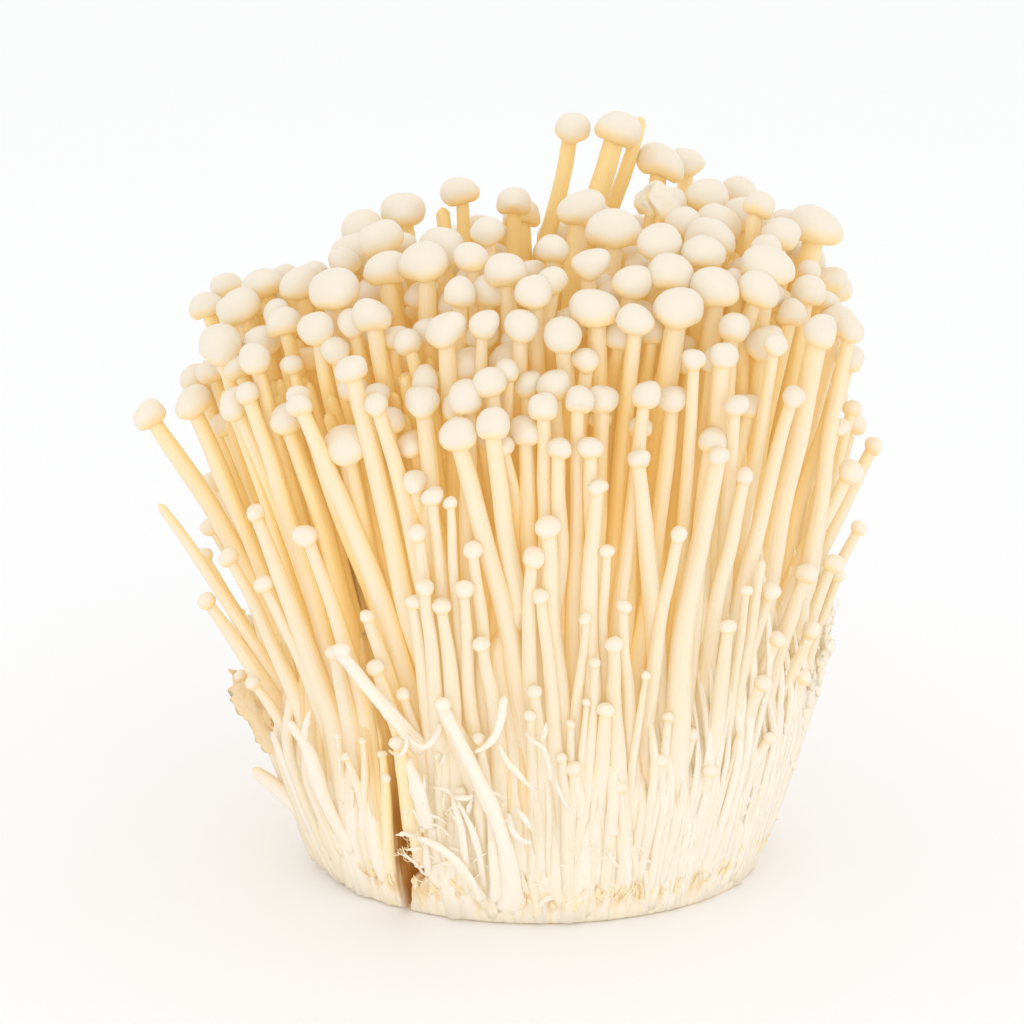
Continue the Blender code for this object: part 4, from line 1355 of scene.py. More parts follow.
@dataclass(frozen=True)
class HeartSkin:
    """Crowded stems deep inside, painted amber brown shade where no light comes, and a painted glow."""

    light: Colour = (0.84, 0.64, 0.34)
    painted_shadow: Colour = (0.66, 0.42, 0.16)
    glow: Colour = (0.20, 0.13, 0.05)

    def make(self, name: str) -> bpy.types.Material:
        """Painted amber shade by rib, darker in the valleys, with lengthwise fibres.

        Args:
            name: Name of the material.

        Returns:
            The material.
        """
        # Painted glow: an even emission all over.
        constants = {"Specular IOR Level": 0.2, "Roughness": 0.6, "Emission Strength": 0.3}
        shader = Shader(name, {**constants, "Emission Color": (*self.glow, 1.0)})
        grain = shader.mark("grain", "Vector").socket
        fibre = shader.noise(shader.stretched(grain, (1.0, 1.0, 0.08)), 1.5, 3.0)
        amber = shader.mark("rib") * (0.5 + fibre)
        shader.set("Base Color", shader.mix(amber.step(0.1, 0.9), self.painted_shadow, self.light))
        shader.bump(fibre, 0.5, 0.0004)
        return shader.material


# ---------------------------------------------------------------------------------------------
# Mushrooms
# ---------------------------------------------------------------------------------------------


def shade_of(points: Array, ways: Array | None = None) -> Array:
    """Painted amber shade of a place: deep between the stems, under the caps, beside the parting, or turned
    in.

    Args:
        points: Places, with x, y and z in the last axis.
        ways: Directions of the skin there, if it shall be darker where it faces inwards.

    Returns:
        Values from 0 outside to 1 deep inside.
    """
    x, y, z = np.moveaxis(points, -1, 0)
    # Painted shade by depth in the bunch, under the caps, and beside the parting low down.
    deep = smooth(FORM.depth(points), 2.0, 15.0)
    under = smooth(z, 45.0, 90.0) * 0.28
    near = (1.0 - smooth(np.abs(FORM.beyond(x, y, z)), 1.0, 6.0)) * (1.0 - smooth(z, 22.0, 60.0))
    total = deep + under + 0.5 * near
    if ways is not None:
        wide, far = FORM.fan(z)
        out = np.stack([(x - FORM.fan_middle(z)) / wide**2, y / far**2], axis=-1)
        out /= np.maximum(np.linalg.norm(out, axis=-1, keepdims=True), 1e-9)
        # Painted shade on sides that face inwards, from the foot up, and less on the right.
        turned = 1.0 - np.clip((ways[..., :2] * out).sum(axis=-1), -0.4, 1.0)
        total = total + 0.36 * turned * smooth(z, 2.0, 26.0) * (1.0 - 0.5 * smooth(x, 8.0, 30.0))
    return np.clip(total, 0.0, 1.0)


@dataclass
class Mushrooms:
    """The stems and caps of one tuft."""

    tuft: str
    side: int
    lines: Lines
    placed: int
    inner_start: float = 16.0
    sway: float = 0.8

    def dress(self, stem_skin: bpy.types.Material, cap_skin: bpy.types.Material) -> None:
        """Builds the stems and caps that are placed, and then those that fill in between them.

        Args:
            stem_skin: Finish of the stems.
            cap_skin: Finish of the caps.
        """
        own = self.lines.side == self.side
        grown = np.arange(len(own)) >= self.placed
        cap, top = self.lines.cap, self.lines.top
        tall = np.where(grown, cap > 2.4, (top[:, 2] > 50) | (cap > 3.4))
        creased = (top == CREASED).all(axis=1)
        groups = (
            ("", own & ~grown, Shape.TALL, Shape.SHORT),
            ("_inner", own & grown, Shape.PLAIN, Shape.SMALL),
        )
        for label, group, large, small in groups:
            stems, caps = Surface(), Surface()
            for shape, chosen in ((large, group & tall), (small, group & ~tall)):
                self.add_stems(stems, shape, np.flatnonzero(chosen))
                self.add_caps(caps, shape, np.flatnonzero(chosen & (cap > 0) & ~creased))
            if (group & creased).any():
                self.add_caps(caps, Shape.FINE, np.flatnonzero(group & creased))
            stems.piece(self.tuft + label + "_stems", stem_skin, self.tuft)
            caps.piece(self.tuft + label + "_caps", cap_skin, self.tuft)

    def necks(self, chosen: Array) -> tuple[Array, Array, Array]:
        """Where the caps sit.

        Args:
            chosen: Numbers of the mushrooms.

        Returns:
            Cap heights, neck points and the axes of the caps: the stem's end, tilted and drawn up.
        """
        lines = self.lines
        high = np.where(lines.cap > 0, cap_height(lines.cap), 1.2)[chosen]
        neck = lines.top[chosen, 2] - 0.40 * high
        ends = self.centres(chosen, np.stack([neck - 2.5, neck], axis=1))
        axes = along(ends)[:, -1] + np.column_stack([lines.tilt[chosen], np.full(len(chosen), 0.25)])
        return high, ends[:, 1], axes / np.linalg.norm(axes, axis=1, keepdims=True)

    def centres(self, chosen: Array, heights: Array) -> Array:
        """Settled centre points of some of the mushrooms.

        Args:
            chosen: Numbers of the mushrooms.
            heights: One row of heights for each of them.

        Returns:
            Points, one for each height.
        """
        full = np.zeros((len(self.lines.cap), heights.shape[1]))
        full[chosen] = heights
        return self.lines.centres(full)[chosen]

    def add_stems(self, surface: Surface, shape: Shape, chosen: Array) -> None:
        """Adds stems: rings carried along the settled lines, with a groove and slow swellings.

        Args:
            surface: What they are added to.
            shape: How they are divided.
            chosen: Numbers of the mushrooms.
        """
        sides, count = shape.value[:2]
        lines = self.lines
        high, neck, axes = self.necks(chosen)
        start = self.starts(chosen, neck[:, 2])
        share = np.linspace(0.0, 1.0, count) ** 0.9
        heights = start[:, None] + (neck[:, 2] - start)[:, None] * share
        grown = (heights - 4.0) / (neck[:, 2:] - 4.0)
        seeds = chosen[:, None] * 7.3
        middles = self.centres(chosen, heights)
        # Slow bends along the free part of each stem.
        sway = [value_noise(joined(heights / 13.0, seeds, field), 71) for field in (0.5, 7.5)]
        loose = smooth(grown, 0.05, 0.3) * (1.0 - smooth(grown, 0.8, 0.97))
        loose = loose * np.minimum(1.0, neck[:, 2:] / 60.0)
        middles[..., :2] += self.sway * np.stack(sway, axis=-1) * loose[..., None]
        width = 0.52 * lines.stem[chosen, None] * stem_share(grown)
        width *= 1.0 + 0.38 * lines.outer[chosen, None] * (1.0 - smooth(heights, 10.0, 48.0))
        width *= 1.0 + smooth(lines.cap[chosen], 3.0, 6.0)[:, None] * 0.22 * smooth(grown, 0.7, 1.0)
        width *= 1.0 + 0.08 * value_noise(joined(heights / 11.0, seeds, 0.5), 3)
        # The last ring goes up inside the cap, or closes a bare tip.
        capless = lines.cap[chosen] == 0
        tip = neck + axes * (np.where(capless, 0.5, 0.35) * high)[:, None]
        middles = np.concatenate([middles, tip[:, None]], axis=1)
        width = np.concatenate([width, width[:, -1:] * np.where(capless, 0.62, 0.8)[:, None]], axis=1)
        turn = lines.phase[chosen, None, None] + even_turns(sides)
        swirl = heights[..., None] / 60.0
        swirl = np.concatenate([swirl, swirl[:, -1:]], axis=1)
        groove = np.exp(-((np.sin(0.5 * (turn - swirl)) / 0.22) ** 2))
        radius = width[..., None] * (1.0 + 0.06 * np.cos(2 * (turn + swirl)) - 0.07 * groove)
        points, ring = rings_along(middles, radius, turn)
        length = np.concatenate([heights, heights[:, -1:] + 1.0], axis=1)[..., None]
        grain = joined(radius * np.cos(turn) + seeds[..., None], radius * np.sin(turn), length)
        low = smooth(-points[..., 2], -45.0, -8.0)
        # The shade mark is painted shade; low makes the stems whiter near the foot.
        marks = {"shade": shade_of(points, ring), "grain": grain, "low": low}
        high_pole = tip + axes * (np.where(capless, 0.35, 0.0) * high)[:, None]
        surface.add_tubes(points, middles[:, 0] - [0, 0, 0.5], high_pole, marks)

    def starts(self, chosen: Array, necks: Array) -> Array:
        """Where the stems start: outer ones low in the foot, and inner and hollowed ones above it.

        Args:
            chosen: Numbers of the mushrooms.
            necks: Heights of their necks.

        Returns:
            Heights, never above the middle of a stem.
        """
        start = np.where(self.lines.outer[chosen] > 0.05, 1.0, self.inner_start)
        if self.side > 0:
            at = np.full((len(chosen), 1), HOLLOW.place[2])
            hollow = HOLLOW.depth(self.centres(chosen, at)[:, 0], 1.2) > 0.05
            start = np.where(hollow, self.inner_start, start)
        return np.minimum(start, 0.5 * necks)

    def add_caps(self, surface: Surface, shape: Shape, chosen: Array) -> None:
        """Adds caps: a profile from under the rim over the dome, turned about each cap's axis.

        The radius follows a cosine and the height a sine of the dome's angle. Open caps have a low,
        in-curved rim and a hollow underside, and buttons are nearly round. Two and three soft lobes
        and a lean of the dome make each one different.

        Args:
            surface: What they are added to.
            shape: How they are divided.
            chosen: Numbers of the mushrooms.
        """
        sides, count = shape.value[2:]
        lines = self.lines
        high, neck, axes = self.necks(chosen)
        rng = np.random.default_rng(SEED + len(chosen))
        spread = smooth(lines.cap[chosen], 3.2, 6.4) + rng.normal(0, 0.15, len(chosen))
        spread = np.clip(spread, 0.0, 1.0)[:, None]
        widest = 0.46 - 0.13 * spread
        under = max(3, count // 4)
        dome = count - under
        angle = np.linspace(-1.0, 0.5 * math.pi - 0.09, dome)[None]
        full = rng.uniform(0.84, 1.0, (len(chosen), 1))
        radius = np.cos(angle) ** np.where(angle < 0, 0.85 - 0.25 * spread, full)
        drop = widest * np.sin(angle) / math.sin(1.0)
        height = widest + np.where(angle < 0, drop, (1 - widest) * np.sin(angle))
        inward = np.linspace(0.3, 0.92, under)[None]
        low = spread * 0.14 * (1 - inward**2)
        radius = np.concatenate([inward * radius[:, :1], radius], axis=1)
        height = np.concatenate([low, height], axis=1)
        turn = lines.phase[chosen, None, None] + even_turns(sides)
        lobes = rng.normal(0, 1, (len(chosen), 4, 1, 1)) * [[[0.05]], [[0.05]], [[0.028]], [[0.028]]]
        form = 1.0 + lobes[:, 0] * np.cos(2 * turn) + lobes[:, 1] * np.sin(2 * turn)
        form = form + lobes[:, 2] * np.cos(3 * turn) + lobes[:, 3] * np.sin(3 * turn)
        wide = 0.5 * lines.cap[chosen, None, None] * radius[..., None] * form
        lean = (lines.cap[chosen, None] * height**2)[..., None]
        lean = rng.normal(0, 0.07, (len(chosen), 2))[:, None] * lean
        across, other = ring_frames(axes)
        edge = (radius * (height < widest + 0.1))[:, None, :, None]
        wave = rng.normal(0, 0.05, (len(chosen), 2, 1, 1)) * edge
        ripple = wave[:, 0] * np.cos(2 * turn) + wave[:, 1] * np.sin(3 * turn)
        up = (height[..., None] + ripple) * high[:, None, None]
        flat = (np.cos(turn) * wide + lean[..., :1])[..., None] * across[:, None, None]
        flat = flat + (np.sin(turn) * wide + lean[..., 1:])[..., None] * other[:, None, None]
        points = neck[:, None, None] + flat + up[..., None] * axes[:, None, None]
        crest = np.column_stack([lean[:, -1], np.full(len(chosen), 1.0) * high])
        top = neck + crest[:, :1] * across + crest[:, 1:2] * other + crest[:, 2:] * axes
        base = neck + axes * (0.10 * high)[:, None]
        # Painted shade: the rim mark is 1 on the underside and falls off up the lower part of the dome.
        rim = np.clip(1.0 - 1.25 * height[..., None] / np.maximum(widest[..., None] + 0.35, 0.1), 0.0, 1.0)
        under_mask = np.zeros((1, count, 1))
        under_mask[:, :under] = 1.0
        rim = np.maximum(rim, under_mask) + 0 * turn
        heart = neck + axes * (0.4 * high)[:, None]
        away = (points - heart[:, None, None]) / lines.cap[chosen, None, None, None]
        dents = value_noise(away * 1.9 + chosen[:, None, None, None] * 5.3, 51)
        points = points + away * (0.10 * dents * lines.cap[chosen, None, None])[..., None]
        slit = 0.0
        if shape is Shape.FINE:
            points, slit = self.crumpled(points, neck[:, None, None], high[0])
            top = points[:, -1].mean(axis=1)
        # Painted shade: deeper in the bunch and under the crown, less on low caps, and in the slit and
        # folds.
        cover = FORM.crown_height(points[..., 0], points[..., 1]) - points[..., 2]
        shade = 0.75 * smooth(FORM.depth(points), 4.0, 18.0) + 0.35 * smooth(cover, 3.0, 13.0)
        low_cap = 1.0 - smooth(lines.top[chosen, 2], 60.0, 84.0)[:, None, None]
        shade = np.clip(np.maximum(shade * (1.0 - 0.8 * low_cap), slit), 0.0, 1.0)
        surface.add_tubes(points, base, top, {"shade": shade, "rim": rim})

    @staticmethod
    def crumpled(points: Array, neck: Array, high: float) -> tuple[Array, Array]:
        """Folds a cap: noise in three sizes moves it outwards and inwards, and a bent slit cuts in.

        Args:
            points: The smooth cap.
            neck: Its neck.
            high: Its height.

        Returns:
            The folded cap, and how deep in the slit or an inward fold each point lies, used as painted
            shade.
        """
        heart = neck + [0.0, 0.0, 0.45 * high]
        away = points - heart
        far = np.linalg.norm(away, axis=-1, keepdims=True)
        away = away / np.maximum(far, 1e-6)
        fold = 0.5 * value_noise(away * 1.6, 41) + 0.22 * value_noise(away * 3.4, 43)
        fold = fold + 0.08 * np.abs(value_noise(away * 8.0, 45))
        bend = 0.25 * np.sin(4.0 * away[..., 2]) + 0.15 * value_noise(away * 2.5, 47)
        slit = np.exp(-(((away[..., 0] + 0.18 + bend) / 0.085) ** 2)) * smooth(-away[..., 1], 0.1, 0.6)
        lips = np.exp(-(((away[..., 0] + 0.18 + bend) / 0.30) ** 2)) * smooth(-away[..., 1], 0.0, 0.6)
        move = 1.25 * fold + 0.7 * lips - 1.15 * slit
        moved = points + away * (move * smooth(far[..., 0], 0.4, 2.0))[..., None]
        return moved, np.maximum(0.9 * slit, 0.3 * smooth(-fold, 0.0, 0.5))


# ---------------------------------------------------------------------------------------------
# Foot
# ---------------------------------------------------------------------------------------------


@dataclass
class Foot:
    """The foot of one tuft: cut face, ribbed wall, and the heart of crowded stems above it."""

    tuft: str
    side: int
    low: tuple[float, float]
    high: tuple[float, float, float]
    columns: int
    rib: float = 1.9
    fine_rib: float = 0.62
    heart_rib: float = 2.6
    rib_depth: tuple = ((0.0, 2.0, 4.5, 7.0, 12.0, 34.0), (0.15, 0.25, 0.4, 0.75, 1.0, 1.3))
    heart_inset: tuple = ((20, 27, 44, 62, 74), (5.0, 7.5, 13.0, 18.0, 24.0))
    wall_inset: tuple = (
        (0, 0.25, 0.7, 1.4, 5.4, 6.4, 9, 13, 20, 27, 34, 44),
        (1.0, 0.5, 0.2, 0, 0, 0.3, 0.45, 0.7, 1.3, 2.4, 4.5, 10),
    )

    def rim(self, turn: Array, z: Array, inset: Array, clear: Array) -> Array:
        """How far the foot reaches from its middle line: halving until the edge of the form is met.

        Args:
            turn: Directions round the middle, in radians.
            z: Heights, one for each ring.
            inset: How far each ring lies inside the fan, for the ring or by ring and direction.
            clear: How much further than the gap each ring lies from the parting.

        Returns:
            Distances by ring and direction.
        """
        inset = inset.reshape(len(z), -1)
        middle = self.middle(z)
        front_gap = np.interp(z, (0.0, 8.0, FORM.reach), (*FORM.cleft, FORM.gap))[:, None]
        least, most = np.zeros((len(z), len(turn))), np.full((len(z), len(turn)), 120.0)
        for _ in range(24):
            half = 0.5 * (least + most)
            x = middle[:, :1] + half * np.cos(turn)
            y = middle[:, 1:2] + half * np.sin(turn)
            inside = FORM.edge(x, y, z[:, None], inset) < 1.0
            front = np.clip(-y / FORM.foot[1], 0.0, 1.0)
            gap = 0.5 * (FORM.gap + (front_gap - FORM.gap) * front) + clear[:, None]
            inside &= self.side * FORM.beyond(x, y, z[:, None]) > gap
            least, most = np.where(inside, half, least), np.where(inside, most, half)
        return least

    def middle(self, z: Array) -> Array:
        """The line that the rings are drawn round, from the cut face to the top of the heart."""
        start, end = np.array([*self.low, 0.0]), np.array(self.high)
        return start + (end - start) * (z / self.high[2])[:, None]

    def shell(self, z: Array, inset: Array, columns: int) -> tuple[Array, Array]:
        """Plain rings of the foot.

        Args:
            z: Ring heights.
            inset: How far each lies inside the fan.
            columns: Points in each ring, spread evenly along the rim of the cut.

        Returns:
            Points by ring and column, and the length along the rim up to each column.
        """
        even = even_turns(2000)
        flat = np.array([8.0])
        reach = self.rim(even, flat, np.zeros(1), np.zeros(1))[0]
        x, y = reach * np.cos(even), reach * np.sin(even)
        step = np.hypot(np.diff(x, append=x[:1]), np.diff(y, append=y[:1]))
        length = np.concatenate([[0.0], np.cumsum(step)])
        places = np.arange(columns) * length[-1] / columns
        turn = np.interp(places, length, np.append(even, TURN))
        clear = 0.2 + 2.3 * np.clip((z - 13.0) / 20.0, 0.0, 1.0)
        right = smooth(np.cos(turn), 0.35, 0.95) if self.side > 0 else 0.0 * turn
        spot = joined(8 * np.cos(turn), 8 * np.sin(turn), 0.0)
        ragged = z[:, None] + 9.0 * value_noise(spot, 61) + 4.0 * value_noise(spot * 3, 63)
        inset = inset[:, None] * (1.0 - 0.78 * right * (1.0 - smooth(ragged, 22.0, 40.0)))
        radius = self.rim(turn, z, inset, np.where(z < 13.0, 0.0, clear))
        middle = self.middle(z)
        x, y = middle[:, :1] + radius * np.cos(turn), middle[:, 1:2] + radius * np.sin(turn)
        return joined(x, y, z[:, None]), places

    def dress(self, foot_skin: bpy.types.Material, heart_skin: bpy.types.Material) -> None:
        """Builds the wall with its cut face, and the heart.

        Args:
            foot_skin: Finish of the wall.
            heart_skin: Finish of the heart.
        """
        self.wall().piece(self.tuft + "_foot", foot_skin, self.tuft)
        self.heart().piece(self.tuft + "_heart", heart_skin, self.tuft)

    def ribs(self, places: Array, z: Array, pitch: float, seed: int) -> Array:
        """Height of round ribs with sharp valleys: a sine's size along the rim, wandering with height.

        Args:
            places: Lengths along the rim.
            z: Heights.
            pitch: Width of a rib.
            seed: Seed of its wandering.

        Returns:
            0 in a valley and 1 on a crest, by height and place.
        """
        around = places[-1] + places[1]
        count = round(around / pitch)
        turn = TURN * places / around
        spot = joined(8 * np.cos(turn), 8 * np.sin(turn), z[:, None] / 14)
        phase = math.pi * count * places / around + 1.1 * value_noise(spot, seed)
        return np.abs(np.sin(phase))

    def wall(self) -> Surface:
        """Ribbed wall: the fan's outline less the ribs' valleys, lumps and fuzz, closed below.

        Returns:
            The surface.
        """
        z = np.concatenate([[0.0, 0.25, 0.7, 1.4], np.linspace(2.2, 44.0, 68)])
        points, places = self.shell(z, np.interp(z, *self.wall_inset), self.columns)
        rib = self.ribs(places, z, self.rib, 5)
        fine = self.ribs(places, z, self.fine_rib * self.rib, 9)
        depth = np.interp(z, *self.rib_depth)[:, None]
        away = points - np.append(points[0, :, :2].mean(axis=0), 0.0)
        away[..., 2] = 0.0
        away /= np.linalg.norm(away, axis=-1, keepdims=True)
        lumps = value_noise(points / [2.2, 2.2, 4.0], 11)
        fuzz = smooth(points[..., 0], 14.0, 32.0) * smooth(-points[..., 1], -12.0, 8.0)
        fuzz = fuzz * smooth(points[..., 2], 3.0, 9.0) * smooth(-points[..., 2], -33.0, -22.0)
        crumbs = value_noise(points / 0.9, 13) + 0.6 * value_noise(points / 0.45, 17)
        move = -depth * ((1 - rib) * 0.75 + (1 - fine) * 0.35)
        move = move + 0.30 * lumps * smooth(z, 1.0, 5.0)[:, None]
        move = move + fuzz * (0.5 * crumbs + 0.3)
        hollow = HOLLOW.depth(points) if self.side > 0 else 0.0 * rib
        # Where the top of the cut band frays, the skin is lifted in crumbs and flakes.
        fray = smooth(z, 3.6, 5.2)[:, None] * (1.0 - smooth(z, 6.2, 8.6))[:, None]
        flakes = np.abs(value_noise(points / [0.7, 0.7, 1.5], 23))
        flakes = flakes + 0.5 * np.abs(value_noise(points / 0.4, 27))
        move = move + fray * (1.1 * flakes - 0.25) - HOLLOW.push * hollow
        points = points + away * move[..., None]
        grain = joined(places, 3.0, z[:, None])
        # Painted shade: by depth, on the wall between the stems higher up and away from the right, in the
        # torn hollow, and none at the cut.
        between = 0.7 * smooth(points[..., 2], 6.0, 24.0) * (1.0 - smooth(points[..., 0], 8.0, 30.0))
        shade = np.clip(0.75 * shade_of(points) + between + 1.2 * hollow, 0.0, 1.0)
        hollow = smooth(hollow, 0.08, 0.45)
        # Painted brown shade in the torn hollow, and beside the parting low down, inside the fan's outline.
        near = np.abs(FORM.beyond(*np.moveaxis(points, -1, 0)))
        inside = 1.0 - smooth(FORM.edge(*np.moveaxis(points, -1, 0)), 0.88, 0.96)
        cleft_shade = (1.0 - smooth(near, 2.4, 4.2)) * (1.0 - smooth(points[..., 2], 13.0, 27.0)) * inside
        hollow = np.maximum(hollow, 0.9 * cleft_shade)
        marks = {"rib": 0.7 * rib + 0.3 * fine, "fuzz": fuzz, "height": grain[..., 2], "grain": grain}
        marks["shade"] = shade * smooth(z, 0.5, 6.0)[:, None]
        marks["hollow"] = hollow
        # The cut face closes the bottom with shrinking rings.
        middle = np.array([*self.low, 0.0])
        shares = np.array([0.15, 0.5, 0.85, 0.97])
        under = middle + (points[0] - middle) * shares[:, None, None]
        under[..., 2] = 0.0
        full = np.concatenate([under, points])
        for name, values in marks.items():
            marks[name] = np.concatenate([np.repeat(values[:1], 4, axis=0), values])[None]
        surface = Surface()
        top = self.middle(z[-1:])
        surface.add_tubes(full[None], middle[None], top, marks)
        return surface

    def heart(self) -> Surface:
        """Heart: rings that draw in towards the crown, with deep rounded ribs.

        Returns:
            The surface.
        """
        z = np.linspace(20.0, self.high[2] - 4.0, 22)
        points, places = self.shell(z, np.interp(z, *self.heart_inset), self.columns // 3)
        rib = self.ribs(places, z, self.heart_rib, 21)
        away = points - self.middle(z)[:, None]
        away[..., 2] = 0.0
        away /= np.maximum(np.linalg.norm(away, axis=-1, keepdims=True), 1e-6)
        points = points - away * (1.6 * (1 - rib))[..., None]
        grain = joined(places, 0.0, z[:, None])
        surface = Surface()
        marks = {"rib": rib[None], "grain": grain[None]}
        surface.add_tubes(points[None], self.middle(z[:1]), np.array([self.high]), marks)
        return surface


@dataclass
class Strands:
    """Thin strands that run up the outside of the foot between the stems."""

    tuft: str
    side: int
    count: int
    sides: int = 6
    rings: int = 13

    def dress(self, skin: bpy.types.Material) -> None:
        """Builds the strands: tubes along the fan's outline that sink in at both ends.

        Args:
            skin: Their finish.
        """
        rng = np.random.default_rng(SEED + self.count)
        turn = rng.random(self.count) * TURN
        crowd = rng.random(self.count) < (0.45 if self.side > 0 else 0.0)
        turn = np.where(crowd, rng.uniform(-1.15, 0.5, self.count), turn)
        right = smooth(np.cos(turn), 0.1, 0.8) * smooth(-np.sin(turn), -0.6, 0.2)
        top = 9.0 + 30.0 * rng.random(self.count) ** 1.6 + 26.0 * right * rng.random(self.count)
        share = np.linspace(0.0, 1.0, self.rings)
        z = 1.5 + (top[:, None] - 1.5) * share
        drift = rng.normal(0, 0.035, (self.count, 1)) * share
        bends = share * rng.uniform(3, 8, (self.count, 1)) + rng.random((self.count, 1)) * 6
        way = turn[:, None] + drift + 0.012 * np.sin(bends)
        lift = rng.uniform(-1.0, 0.25, (self.count, 1))
        ends = rng.uniform(2.5, 10.0, (self.count, 1))
        sunk = (1.8 if self.side > 0 else 0.4) * (1 - smooth(z, ends - 4.0, ends))
        sunk = sunk + 6.0 * smooth(share, 0.5, 1.0) ** 1.5
        wide, deep = (half + lift - sunk for half in FORM.fan(z))
        middles = joined(FORM.fan_middle(z) + wide * np.cos(way), deep * np.sin(way), z)
        clear = (self.side * FORM.beyond(middles[..., 0], middles[..., 1], z)).min(axis=1)
        kept = (clear > 1.6) & (HOLLOW.depth(middles, 1.25).max(axis=1) < 0.05)
        middles, share = middles[kept], share[None]
        width = 0.5 * rng.uniform(0.8, 2.4, (len(middles), 1)) * (1.0 - 0.4 * share**4)
        width *= 1.0 - 0.35 * right[kept][:, None]
        around = even_turns(self.sides) + rng.random((len(middles), 1, 1)) * 6
        radius = width[..., None] * (1.0 + 0.12 * np.cos(2 * around))
        points, ring = rings_along(middles, radius, around)
        seeds = np.arange(len(middles))[:, None, None] * 3.7
        grain = joined(radius * np.cos(around) + seeds, radius * np.sin(around), middles[..., 2:])
        # Painted shade, weaker on the strands.
        marks = {"shade": 0.6 * shade_of(points, ring), "grain": grain}
        marks["low"] = np.clip(0.4 + 0.6 * right[kept][:, None, None], 0, 1) + 0 * radius
        surface = Surface()
        surface.add_tubes(points, middles[:, 0], middles[:, -1] + 0.3 * along(middles)[:, -1], marks)
        surface.piece(self.tuft + "_strands", skin, self.tuft)


